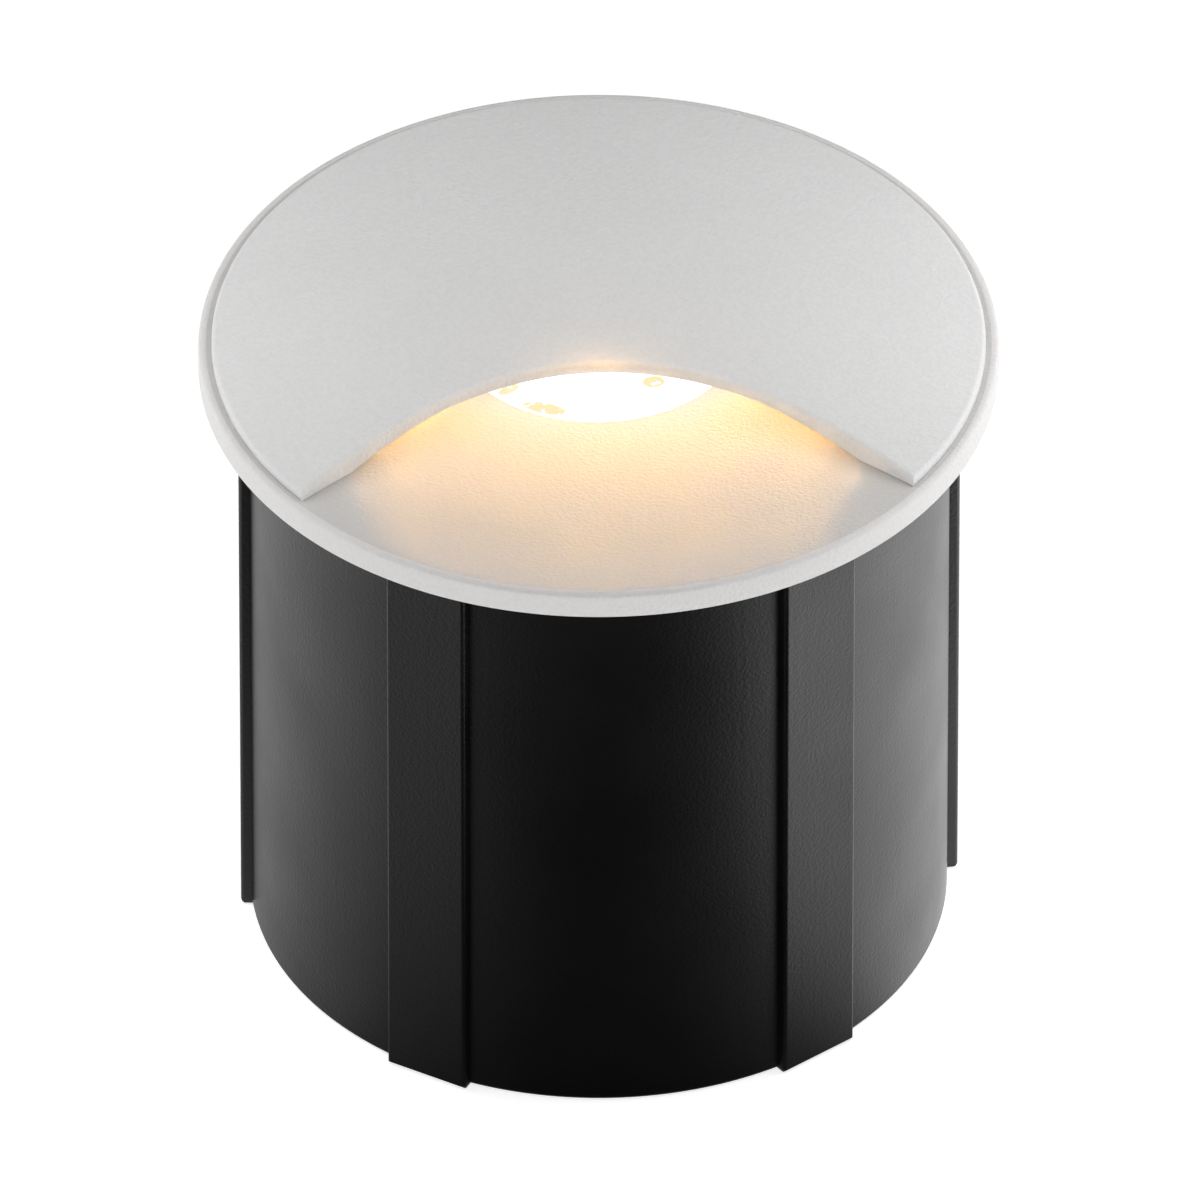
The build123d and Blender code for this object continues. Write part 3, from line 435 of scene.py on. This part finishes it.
# Lens: a pressed clear disc with a light-gathering cone behind. It sits in the plate's window over a
# silicone ring, clamped by a black holder with four screws. Lit, it shows white-hot with amber flecks.
lens_low, lens_high = solid_span("optic_lens")
lens_y = (lens_low.y + lens_high.y) / 2
lens_r = 17.0
lens_crown = 0.6
lens_face = lens_high.z - lens_crown
crown_steps = 8
lens_flange_r = lens_high.x
lens_flange_top = 70.1
lens_flange_base = 67.9
lens_chamfer = 0.15
cone_root_r = 13.6
cone_top = (13.4, 67.6)
cone_foot = (7.1, 57.5)
cone_end_r = 7.0
cone_end = lens_low.z
pocket_r = 5.5
pocket_wall = 2.0
pocket_depth = 4.0
crown_sphere = (lens_r**2 + lens_crown**2) / (2 * lens_crown)
crown_line = []
for i in range(crown_steps + 1):
    crown_r = lens_r * i / crown_steps
    crown_drop = crown_sphere - math.sqrt(crown_sphere**2 - crown_r**2)
    crown_line.append((crown_r, lens_face + lens_crown - crown_drop))
lens = turn_on_lathe(
    "optic_lens_clear",
    [(0, cone_end + pocket_depth)]
    + crown_line
    + [
        (lens_r, lens_flange_top),
        (lens_flange_r - lens_chamfer, lens_flange_top),
        (lens_flange_r, lens_flange_top - lens_chamfer),
        (lens_flange_r, lens_flange_base + lens_chamfer),
        (lens_flange_r - lens_chamfer, lens_flange_base),
        (cone_root_r, lens_flange_base),
        cone_top,
        cone_foot,
        (cone_end_r, cone_end),
        (pocket_r, cone_end),
        (pocket_r, cone_end + pocket_wall),
        (0, cone_end + pocket_depth),
    ],
    steps=128,
    at_y=lens_y,
)
smooth_off(lens, degrees=35)
lens_glow = grained_finish(
    "lit_lens", deep=(0.05, 0.045, 0.035), pale=(0.08, 0.075, 0.06),
    glossy=0.06, matt=0.12, grain=900, patch=260, depth=0.004,
)
lens_nodes = lens_glow.node_tree.nodes
lens_links = lens_glow.node_tree.links
lens_shader = lens_nodes["Principled BSDF"]
lens_place = lens_nodes.new("ShaderNodeTexCoord")
fleck_noise = lens_nodes.new("ShaderNodeTexNoise")
fleck_noise.inputs["Scale"].default_value = 1200
fleck_noise.inputs["Detail"].default_value = 4.0
lens_links.new(lens_place.outputs["Object"], fleck_noise.inputs["Vector"])
fleck_spots = lens_nodes.new("ShaderNodeMapRange")
fleck_spots.inputs["From Min"].default_value = 0.24
fleck_spots.inputs["From Max"].default_value = 0.42
lens_links.new(fleck_noise.outputs["Fac"], fleck_spots.inputs["Value"])


def lens_spot(at, turn, reach, inside, outside):
    """A soft oval on the lens, its size in mm, that runs from one value to another at its edge."""
    spot_frame = lens_nodes.new("ShaderNodeMapping")
    spot_frame.vector_type = "TEXTURE"
    spot_frame.inputs["Location"].default_value = (at[0] * mm, at[1] * mm, lens_face * mm)
    spot_frame.inputs["Rotation"].default_value = (0, 0, math.radians(turn))
    spot_frame.inputs["Scale"].default_value = (reach[0] * mm, reach[1] * mm, 1)
    spot_far = lens_nodes.new("ShaderNodeVectorMath")
    spot_far.operation = "LENGTH"
    spot_fade = lens_nodes.new("ShaderNodeMapRange")
    spot_fade.inputs["From Min"].default_value = 0.7
    spot_fade.inputs["To Min"].default_value = inside
    spot_fade.inputs["To Max"].default_value = outside
    lens_links.new(lens_place.outputs["Object"], spot_frame.inputs["Vector"])
    lens_links.new(spot_frame.outputs["Vector"], spot_far.inputs[0])
    lens_links.new(spot_far.outputs["Value"], spot_fade.inputs["Value"])
    return spot_fade.outputs["Result"]


fleck_sum = lens_spot((-6.3, -5.8), turn=-20, reach=(3.3, 1.15), inside=1.0, outside=0.0)
for fleck in (
    lens_spot((6.1, -1.8), turn=10, reach=(1.7, 1.25), inside=1.0, outside=0.0),
    lens_spot((-10.2, -2.4), turn=30, reach=(1.7, 0.8), inside=0.95, outside=0.0),
    lens_spot((-5.3, -3.9), turn=0, reach=(0.6, 2.3), inside=0.8, outside=0.0),
    lens_spot((4.0, -4.7), turn=25, reach=(1.8, 0.9), inside=0.78, outside=0.0),
):
    more = lens_nodes.new("ShaderNodeMath")
    more.operation = "MAXIMUM"
    lens_links.new(fleck_sum, more.inputs[0])
    lens_links.new(fleck, more.inputs[1])
    fleck_sum = more.outputs["Value"]
fleck_mask = lens_nodes.new("ShaderNodeMath")
fleck_mask.operation = "MULTIPLY"
lens_links.new(fleck_sum, fleck_mask.inputs[0])
lens_links.new(fleck_spots.outputs["Result"], fleck_mask.inputs[1])
lens_dimming = lens_spot((0.9, -3.0), turn=0, reach=(14.2, 8.0), inside=0.0, outside=1.0)
lens_tone = lens_nodes.new("ShaderNodeMix")
lens_tone.data_type = "RGBA"
lens_tone.inputs[mix_first].default_value = (1.0, 1.0, 1.0, 1)
lens_tone.inputs[mix_second].default_value = (0.34, 0.31, 0.24, 1)
lens_links.new(lens_dimming, lens_tone.inputs[mix_share])
fleck_tone = lens_nodes.new("ShaderNodeMix")
fleck_tone.data_type = "RGBA"
fleck_tone.inputs[mix_second].default_value = (0.3, 0.23, 0.12, 1)
lens_links.new(fleck_mask.outputs["Value"], fleck_tone.inputs[mix_share])
lens_links.new(lens_tone.outputs[mix_colour], fleck_tone.inputs[mix_first])
lens_links.new(fleck_tone.outputs[mix_colour], lens_shader.inputs["Emission Color"])
lens_shader.inputs["Emission Strength"].default_value = 3.0
lens_shader.inputs["Coat Weight"].default_value = 0.1
coat_piece(lens, lens_glow)
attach(lens, "lamp")
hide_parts("optic_lens")
silicone = grained_finish(
    "clear_silicone", deep=(0.6, 0.61, 0.6), pale=(0.72, 0.73, 0.72),
    glossy=0.5, matt=0.65, grain=2600, patch=260, depth=0.01,
)
dress(silicone, "lens_gasket")
holder_plastic = grained_finish(
    "black_holder_plastic", deep=(0.013, 0.013, 0.014), pale=(0.024, 0.024, 0.025),
    glossy=0.45, matt=0.6, grain=2600, patch=200, depth=0.012,
)
dress(holder_plastic, "lens_holder")

# Front plate: a white powder-coated casting. A rounded flange covers the wall's edge, its face is dished
# towards the lens, and a spigot behind goes into the housing and is screwed there from the side.
plate_low, plate_high = solid_span("front_plate")
flange_r = plate_high.x
rim_top = plate_high.z
rim_width = 0.8
rim_round = 0.5
flange_thickness = 3.2
flange_base = rim_top - flange_thickness
flange_round = 0.2
dish_r = flange_r - rim_width
dish_last_r = dish_r - 0.25
dish_depth = 4.6
dish_bottom = rim_top - dish_depth
rim_crease = [(dish_r - 0.1, rim_top - 0.02), (dish_r + 0.05, rim_top)]
dish_sphere = (dish_r**2 + dish_depth**2) / (2 * dish_depth)
groove_outer_r = 43.3
groove_inner_r = 41.3
groove_depth = 1.0
spigot_r = 32.4
spigot_wall = 3.0
spigot_bore = spigot_r - spigot_wall
spigot_end = plate_low.z
spigot_chamfer = 0.2
web_thickness = 2.0
web_base = dish_bottom - web_thickness
boss_r = 2.8
boss_end = lens_flange_base
boss_places = ((-22.83, -1.0), (22.83, -1.0), (-10.0, -17.58), (10.0, -17.58))
window_gap = 0.1
window_r = lens_r + window_gap
root_overlap = 0.5
# Painted shade: the dish's coat is painted darker than the rim, standing for the shade in the dish under
# the hood, and painted lighter again towards the dish's outer edge, as painted light.
dish_painted_shade = 0.73
rim_painted_shade = 0.885
painted_shade_edge = 0.15
painted_light_lift = 0.075
painted_lift_first_r = 33.0
painted_lift_last_r = 43.0


def dish_line(last_r, count, lift):
    """Points along the dished floor from its middle outwards, raised by lift."""
    points = []
    for i in range(count + 1):
        r = last_r * i / count
        points.append((r, dish_bottom + lift + dish_sphere - math.sqrt(dish_sphere**2 - r**2)))
    return points


def round_bar(name, radius, low, high, x, y):
    """A plain round bar between two levels, to be worked into a casting."""
    put_down()
    bpy.ops.mesh.primitive_cylinder_add(
        vertices=96,
        radius=radius * mm,
        depth=(high - low) * mm,
        location=(x * mm, y * mm, (low + high) / 2 * mm),
    )
    bar = name_piece(name)
    bpy.ops.object.transform_apply(location=True, rotation=True, scale=True)
    return bar


plate = turn_on_lathe(
    "front_plate_casting",
    dish_line(dish_last_r, count=28, lift=0)
    + rim_crease
    + rounded_corner(flange_r, rim_top, rim_round, first=90, last=0, steps=4)
    + rounded_corner(flange_r, flange_base, flange_round, first=0, last=-90, steps=2)
    + [
        (groove_outer_r, flange_base),
        (groove_outer_r, flange_base + groove_depth),
        (groove_inner_r, flange_base + groove_depth),
        (groove_inner_r, flange_base),
        (spigot_r, flange_base),
        (spigot_r, spigot_end + spigot_chamfer),
        (spigot_r - spigot_chamfer, spigot_end),
        (spigot_bore, spigot_end),
        (spigot_bore, web_base),
        (0, web_base),
        (0, dish_bottom),
    ],
    steps=240,
)
for boss_x, boss_y in boss_places:
    boss = round_bar("holder_boss", boss_r, boss_end, web_base + root_overlap, boss_x, boss_y)
    work_in(plate, boss, "UNION")
window_tool = round_bar("lens_window", window_r, spigot_end, rim_top, 0, lens_y)
work_in(plate, window_tool, "DIFFERENCE")
close_up(plate)
smooth_off(plate, degrees=32)


def paint_grain_shade(finish, share):
    """Paints the grain's shade into a finish's colour, paler on its pimples and darker between them, with
    the given share against the patches.
    """
    nodes = finish.node_tree.nodes
    links = finish.node_tree.links
    spread = nodes.new("ShaderNodeMapRange")
    spread.inputs["From Min"].default_value = 0.35
    spread.inputs["From Max"].default_value = 0.65
    blend = nodes.new("ShaderNodeMix")
    blend.inputs["Factor"].default_value = share
    links.new(nodes["grains"].outputs["Height"], spread.inputs["Value"])
    links.new(nodes["grains"].outputs["Patch"], blend.inputs["A"])
    links.new(spread.outputs["Result"], blend.inputs["B"])
    links.new(blend.outputs["Result"], nodes["tint"].inputs[mix_share])


powder_coat = grained_finish(
    "white_powder_coat", deep=(0.76, 0.745, 0.735), pale=(0.81, 0.795, 0.785),
    glossy=0.5, matt=0.62, grain=2300, patch=50, depth=0.11, specular=0.3,
)
# Painted shade of the grain in the plate's colour.
paint_grain_shade(powder_coat, share=0.6)
coat_nodes = powder_coat.node_tree.nodes
coat_links = powder_coat.node_tree.links
# The coat's colour gets painted shade by reach from the axis: darkest in the dish, a step up at the rim,
# and a painted lift of light towards the dish's edge.
coat_place = coat_nodes.new("ShaderNodeTexCoord")
coat_flat = coat_nodes.new("ShaderNodeVectorMath")
coat_flat.operation = "MULTIPLY"
coat_flat.inputs[1].default_value = (1, 1, 0)
coat_reach = coat_nodes.new("ShaderNodeVectorMath")
coat_reach.operation = "LENGTH"
painted_shade_step = coat_nodes.new("ShaderNodeMapRange")
painted_shade_step.inputs["From Min"].default_value = (dish_r - painted_shade_edge) * mm
painted_shade_step.inputs["From Max"].default_value = dish_r * mm
painted_shade_step.inputs["To Min"].default_value = dish_painted_shade
painted_shade_step.inputs["To Max"].default_value = rim_painted_shade
painted_light_ramp = coat_nodes.new("ShaderNodeMapRange")
painted_light_ramp.inputs["From Min"].default_value = painted_lift_first_r * mm
painted_light_ramp.inputs["From Max"].default_value = painted_lift_last_r * mm
painted_light_ramp.inputs["To Max"].default_value = painted_light_lift
painted_shade_sum = coat_nodes.new("ShaderNodeMath")
painted_shade_sum.operation = "ADD"
painted_shade_mix = coat_nodes.new("ShaderNodeMix")
painted_shade_mix.data_type = "RGBA"
painted_shade_mix.blend_type = "MULTIPLY"
painted_shade_mix.inputs[mix_share].default_value = 1.0
coat_shader = coat_nodes["Principled BSDF"]
coat_links.new(coat_place.outputs["Object"], coat_flat.inputs[0])
coat_links.new(coat_flat.outputs["Vector"], coat_reach.inputs[0])
coat_links.new(coat_reach.outputs["Value"], painted_shade_step.inputs["Value"])
coat_links.new(coat_reach.outputs["Value"], painted_light_ramp.inputs["Value"])
coat_links.new(painted_shade_step.outputs["Result"], painted_shade_sum.inputs[0])
coat_links.new(painted_light_ramp.outputs["Result"], painted_shade_sum.inputs[1])
coat_links.new(coat_nodes["tint"].outputs[mix_colour], painted_shade_mix.inputs[mix_first])
coat_links.new(painted_shade_sum.outputs["Value"], painted_shade_mix.inputs[mix_second])
coat_links.new(painted_shade_mix.outputs[mix_colour], coat_shader.inputs["Base Color"])
coat_piece(plate, powder_coat)
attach(plate, "lamp")
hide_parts("front_plate")

# Eyelid cover: a crescent casting, powder coated like the plate. It is hollow below, so that it hoods
# the lens, lies on the dish with its outer edge, and is held from behind by two screws in its posts.
cover_low, cover_high = solid_span("eyelid_cover")
cover_r = cover_high.y
cover_top = cover_high.z
cover_round = 0.6
cover_blank_base = cover_low.z - 2.0
tip_turn = math.radians(51.8)
tip_x = cover_r * math.sin(tip_turn)
tip_y = -cover_r * math.cos(tip_turn)
arch_apex = -4.8
arch_fall = (arch_apex - tip_y) / tip_x**2
arch_round = 0.8
arch_tool_wide = 80.0
arch_tool_front = -60.0
arch_tool_base = 70.0
arch_tool_top = 80.0
level_slack = 0.001
hood_thickness = 1.3
hood_roof = cover_top - hood_thickness
hood_flat_r = 20.2
hood_bend = (20.8, 77.17)
hood_r = 35.3
hood_edge = 75.9
hood_chamfer = 0.15
hood_tool_base = 71.0
post_r = 3.0
post_x = 22.65
post_y = 12.0
post_end = 72.2
seat_gap = 0.1
seat_tool_r = 47.0


def pick_faces(piece, wanted):
    """Goes into edit mode with those faces selected whose middle passes the test, in mm."""
    take(piece)
    bpy.ops.object.mode_set(mode="EDIT")
    bpy.ops.mesh.select_mode(type="FACE")
    bpy.ops.mesh.select_all(action="DESELECT")
    bpy.ops.object.mode_set(mode="OBJECT")
    for face in piece.data.polygons:
        face.select = wanted(face.center / mm)
    bpy.ops.object.mode_set(mode="EDIT")


cover = turn_on_lathe(
    "eyelid_cover_casting",
    [(0, cover_blank_base), (cover_r, cover_blank_base)]
    + rounded_corner(cover_r, cover_top, cover_round, first=0, last=90, steps=6)
    + [(0, cover_top), (0, cover_blank_base)],
    steps=360,
)
put_down()
bpy.ops.mesh.primitive_grid_add(
    x_subdivisions=160, y_subdivisions=1, size=arch_tool_wide * mm, location=(0, 0, arch_tool_base * mm)
)
arch_tool = name_piece("arch_cut")
bpy.ops.object.transform_apply(location=True, rotation=True, scale=True)
for point in arch_tool.data.vertices:
    if point.co.y > 0:
        point.co.y = arch_apex * mm - arch_fall / mm * point.co.x**2
    else:
        point.co.y = arch_tool_front * mm
arch_lip = rounded_corner(arch_round, cover_top, arch_round, first=0, last=90, steps=6)
arch_level = arch_tool_base
arch_back = 0.0
for reach, level in arch_lip + [(0, arch_tool_top)]:
    pick_faces(arch_tool, lambda middle: middle.z > arch_level - level_slack)
    rise = (0, 0, (level - arch_level) * mm)
    bpy.ops.mesh.extrude_region_move(TRANSFORM_OT_translate={"value": rise})
    put_down()
    back = arch_round - reach
    for point in arch_tool.data.vertices:
        if point.co.z > (level - level_slack) * mm and point.co.y > (arch_tool_front + level_slack) * mm:
            lean = 2 * arch_fall * point.co.x / mm
            move = (back - arch_back) * mm / math.sqrt(1 + lean**2)
            point.co.x += lean * move
            point.co.y += move
    arch_level = level
    arch_back = back
close_up(arch_tool)
work_in(cover, arch_tool, "DIFFERENCE")
hood_tool = turn_on_lathe(
    "hood_hollow",
    [
        (0, hood_tool_base),
        (0, hood_roof),
        (hood_flat_r, hood_roof),
        hood_bend,
        (hood_r - hood_chamfer, hood_edge + hood_chamfer),
        (hood_r, hood_edge),
        (hood_r, hood_tool_base),
        (0, hood_tool_base),
    ],
    steps=180,
)
work_in(cover, hood_tool, "DIFFERENCE")
for side in (-1, 1):
    post = round_bar("cover_post", post_r, post_end, hood_roof + root_overlap, side * post_x, post_y)
    work_in(cover, post, "UNION")
seat_tool = turn_on_lathe(
    "dish_seat",
    dish_line(dish_r, count=40, lift=seat_gap)
    + [
        (seat_tool_r, rim_top + seat_gap),
        (seat_tool_r, hood_tool_base),
        (0, hood_tool_base),
        (0, dish_bottom + seat_gap),
    ],
    steps=240,
)
work_in(cover, seat_tool, "DIFFERENCE")
close_up(cover)
smooth_off(cover, degrees=32)
cover_coat = grained_finish(
    "white_powder_coat_cover", deep=(0.745, 0.742, 0.74), pale=(0.795, 0.792, 0.79),
    glossy=0.5, matt=0.62, grain=2300, patch=50, depth=0.1, specular=0.3,
)
# Painted shade of the grain in the cover's colour.
paint_grain_shade(cover_coat, share=0.7)
coat_piece(cover, cover_coat)
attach(cover, "lamp")
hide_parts("eyelid_cover")

# Screws: slotted pan heads, formed in steel and zinc plated bright. They hold the cover, the lens holder,
# the boards and the rear cover, and from the side the front plate.
screw_steel = grained_finish(
    "zinc_plated_steel", deep=(0.5, 0.5, 0.49), pale=(0.66, 0.66, 0.64),
    glossy=0.24, matt=0.38, grain=3600, patch=500, depth=0.004, metallic=1.0,
)
dress(
    screw_steel, "cover_screws", "lens_holder_screws", "led_board_screws", "front_plate_screws",
    "rear_cover_screws", "driver_board_screws",
)

# Cable gland: body, locknut and clamping nut, moulded in black nylon. The body goes through the rear
# cover, where the locknut holds it.
gland_nylon = grained_finish(
    "black_gland_nylon", deep=(0.012, 0.012, 0.013), pale=(0.022, 0.022, 0.023),
    glossy=0.4, matt=0.56, grain=2600, patch=160, depth=0.012,
)
dress(gland_nylon, "gland_body", "gland_locknut", "gland_nut")

# Lamplight: the warm light of the lit lens, which the hood throws along the dish. Small lights stand in
# for it, under the hood and along its lip. They are fixed to the lens, so that they move with it.
lip_gap = 3.0
lip_height = 78.0
lip_shares = ((7.0, 0.45), (11.5, 0.7), (16.0, 1.0), (20.5, 1.25), (25.0, 1.15), (29.5, 1.0))
left_lip_power = 0.00005
right_lip_power = 0.000075


def lamplight(name, kind, at, colour, power):
    """A light at a place in mm that the camera doesn't see, fixed to the lens."""
    put_down()
    bpy.ops.object.light_add(type=kind, location=[along * mm for along in at])
    lamp = bpy.context.object
    lamp.name = name
    lamp.data.color = colour
    lamp.data.energy = power
    lamp.visible_camera = False
    lamp.parent = lens
    return lamp


def lamp_strip(name, at, way, wide, high, colour, power, spread=180):
    """A strip of lamplight that shines one way, its size in mm and its spread in degrees."""
    strip = lamplight(name, "AREA", at, colour, power)
    strip.data.shape = "RECTANGLE"
    strip.data.size = wide * mm
    strip.data.size_y = high * mm
    strip.data.spread = math.radians(spread)
    strip.rotation_euler = Vector(way).to_track_quat("-Z", "Y").to_euler()


def lamp_bead(name, at, colour, power):
    """A bead of lamplight that shines all round."""
    bead = lamplight(name, "POINT", at, colour, power)
    bead.data.shadow_soft_size = 1.0 * mm


lamp_strip(
    "hood_light", at=(0, 5.0, 75.8), way=(0, -1.0, -0.085), wide=52, high=1.6,
    colour=(1.0, 0.51, 0.1), power=0.0016, spread=20,
)
lamp_strip(
    "roof_light", at=(0, -4.2, 76.9), way=(0, -0.5, -1.0), wide=46, high=1.0,
    colour=(1.0, 0.73, 0.6), power=0.0007,
)
lamp_bead("lip_glow", at=(0, -8.2, 81.8), colour=(1.0, 0.5, 0.06), power=0.00065)
for side, lip_power in ((-1, left_lip_power), (1, right_lip_power)):
    lamp_strip(
        "hood_side_light", at=(side * 22, 5.0, 75.7), way=(side * 0.22, -1.0, -0.02), wide=12, high=1.2,
        colour=(1.0, 0.56, 0.19), power=0.0003, spread=42,
    )
    for along, share in lip_shares:
        lean = 2 * arch_fall * along
        ahead = lip_gap / math.sqrt(1 + lean**2)
        lip_x = side * (along - lean * ahead)
        lip_y = arch_apex - arch_fall * along**2 - ahead
        lip_place = (lip_x, lip_y, lip_height)
        lamp_bead("lip_light", lip_place, colour=(1.0, 0.7, 0.4), power=lip_power * share)

# Studio: a plain white paper floor and even white surroundings, with a soft light overhead, one close at
# each side and a weak one in front. The camera sees none of the lights.
floor_size = 6.0
floor_level = -0.0002
put_down()
bpy.ops.mesh.primitive_plane_add(size=floor_size, location=(0, 0, floor_level))
floor = name_piece("studio_floor")
floor_finish = grained_finish(
    "white_paper_floor", deep=(0.9, 0.9, 0.9), pale=(0.92, 0.92, 0.92),
    glossy=0.85, matt=0.95, grain=400, patch=3, depth=0.002, specular=0.0,
)
floor_shader = floor_finish.node_tree.nodes["Principled BSDF"]
floor_shader.inputs["Emission Color"].default_value = (1, 1, 1, 1)
floor_shader.inputs["Emission Strength"].default_value = 0.7
coat_piece(floor, floor_finish)
world = bpy.data.worlds.new("white_surroundings")
bpy.context.scene.world = world
world.use_nodes = True
surroundings = world.node_tree.nodes["Background"]
surroundings.inputs["Color"].default_value = (1, 1, 1, 1)
surroundings.inputs["Strength"].default_value = 0.2


def softbox(name, at, aim, across, power):
    """A square soft light that the camera doesn't see, in metres."""
    put_down()
    bpy.ops.object.light_add(type="AREA", location=at)
    box = bpy.context.object
    box.name = name
    box.data.shape = "SQUARE"
    box.data.size = across
    box.data.energy = power
    box.rotation_euler = (Vector(aim) - Vector(at)).to_track_quat("-Z", "Y").to_euler()
    box.visible_camera = False
    return box


softbox("overhead_softbox", at=(0.0, -0.25, 0.8), aim=(0, 0, 0.07), across=0.6, power=0.38)
softbox("left_softbox", at=(-0.1, 0.005, 0.145), aim=(0, 0, 0.07), across=0.1, power=0.075)
softbox("right_softbox", at=(0.1, 0.0, 0.145), aim=(0, 0, 0.07), across=0.1, power=0.095)
front_box = softbox("front_softbox", at=(0.0, -0.2, 0.1), aim=(0, 0, 0.075), across=0.12, power=0.062)
front_box.visible_glossy = False

# Mirror card: a paper disc on the floor round the sleeve, dark in front, grey at the left and bright at
# the right. It shows only as a reflection in the sleeve's satin. Its light goes by bearing, in degrees.
card_level = 0.0003
card_r = 0.6
card_full = 3.0
card_behind = 1.0
card_stops = (
    (-150, 1.0), (-87, 1.1), (-71, 0.93), (-63, 0.8), (-52, 0.62), (-44, 0.38), (-33, 0.21), (-24, 0.1),
    (-14, 0.03), (0, 0.0), (14, 0.02), (24, 0.1), (30, 0.2), (36, 0.35), (42, 0.7), (48, 1.25), (58, 2.1),
    (66, 2.3), (90, 2.15), (120, 1.5), (150, 1.2),
)
put_down()
bpy.ops.mesh.primitive_circle_add(
    vertices=72, radius=card_r, fill_type="TRIFAN", location=(0, 0, card_level)
)
card = name_piece("mirror_card")
card_paper = grained_finish(
    "card_paper", deep=(0.01, 0.01, 0.01), pale=(0.012, 0.012, 0.012),
    glossy=0.8, matt=0.9, grain=400, patch=3, depth=0.002,
)
card_nodes = card_paper.node_tree.nodes
card_links = card_paper.node_tree.links
card_light = card_nodes["Principled BSDF"].inputs
card_place = card_nodes.new("ShaderNodeTexCoord")
card_sides = card_nodes.new("ShaderNodeSeparateXYZ")
card_front = card_nodes.new("ShaderNodeMath")
card_front.operation = "MULTIPLY"
card_front.inputs[1].default_value = -1.0
card_bearing = card_nodes.new("ShaderNodeMath")
card_bearing.operation = "ARCTAN2"
card_turn = card_nodes.new("ShaderNodeMapRange")
card_turn.inputs["From Min"].default_value = -math.pi
card_turn.inputs["From Max"].default_value = math.pi
card_ramp = card_nodes.new("ShaderNodeValToRGB")
for stop in card_ramp.color_ramp.elements:
    stop.color = (card_behind / card_full, card_behind / card_full, card_behind / card_full, 1)
for bearing, light in card_stops:
    stop = card_ramp.color_ramp.elements.new((bearing + 180) / 360)
    stop.color = (light / card_full, light / card_full, light / card_full, 1)
card_far = card_nodes.new("ShaderNodeVectorMath")
card_far.operation = "LENGTH"
card_fade = card_nodes.new("ShaderNodeMapRange")
card_fade.inputs["From Min"].default_value = 0.045
card_fade.inputs["From Max"].default_value = 0.095
card_fade.inputs["To Min"].default_value = 2.2
card_fade.inputs["To Max"].default_value = card_full
card_links.new(card_place.outputs["Object"], card_sides.inputs["Vector"])
card_links.new(card_sides.outputs["Y"], card_front.inputs[0])
card_links.new(card_sides.outputs["X"], card_bearing.inputs[0])
card_links.new(card_front.outputs["Value"], card_bearing.inputs[1])
card_links.new(card_bearing.outputs["Value"], card_turn.inputs["Value"])
card_links.new(card_turn.outputs["Result"], card_ramp.inputs["Fac"])
card_links.new(card_ramp.outputs["Color"], card_light["Emission Color"])
card_links.new(card_place.outputs["Object"], card_far.inputs[0])
card_links.new(card_far.outputs["Value"], card_fade.inputs["Value"])
card_links.new(card_fade.outputs["Result"], card_light["Emission Strength"])
coat_piece(card, card_paper)
card.visible_camera = False
card.visible_diffuse = False
card.visible_shadow = False
card.visible_transmission = False

# Camera: a long lens at the photograph's angle, from a little to the left and well above the face. It
# stands far off, so that the sleeve's sides stay parallel.
camera_turn = math.radians(-2.2)
camera_rise = math.radians(39.16)
camera_aim = Vector((0.00015, 0, 0.0404))
camera_far = 5.0
camera_from = Vector(
    (
        math.sin(camera_turn) * math.cos(camera_rise),
        -math.cos(camera_turn) * math.cos(camera_rise),
        math.sin(camera_rise),
    )
)
put_down()
bpy.ops.object.camera_add(location=camera_aim + camera_far * camera_from)
camera = bpy.context.object
camera.rotation_euler = (-camera_from).to_track_quat("-Z", "Y").to_euler()
camera.data.sensor_width = 36
camera.data.lens = 1329.5
camera.data.clip_end = 50
bpy.context.scene.camera = camera
bpy.context.scene.view_settings.view_transform = "Standard"
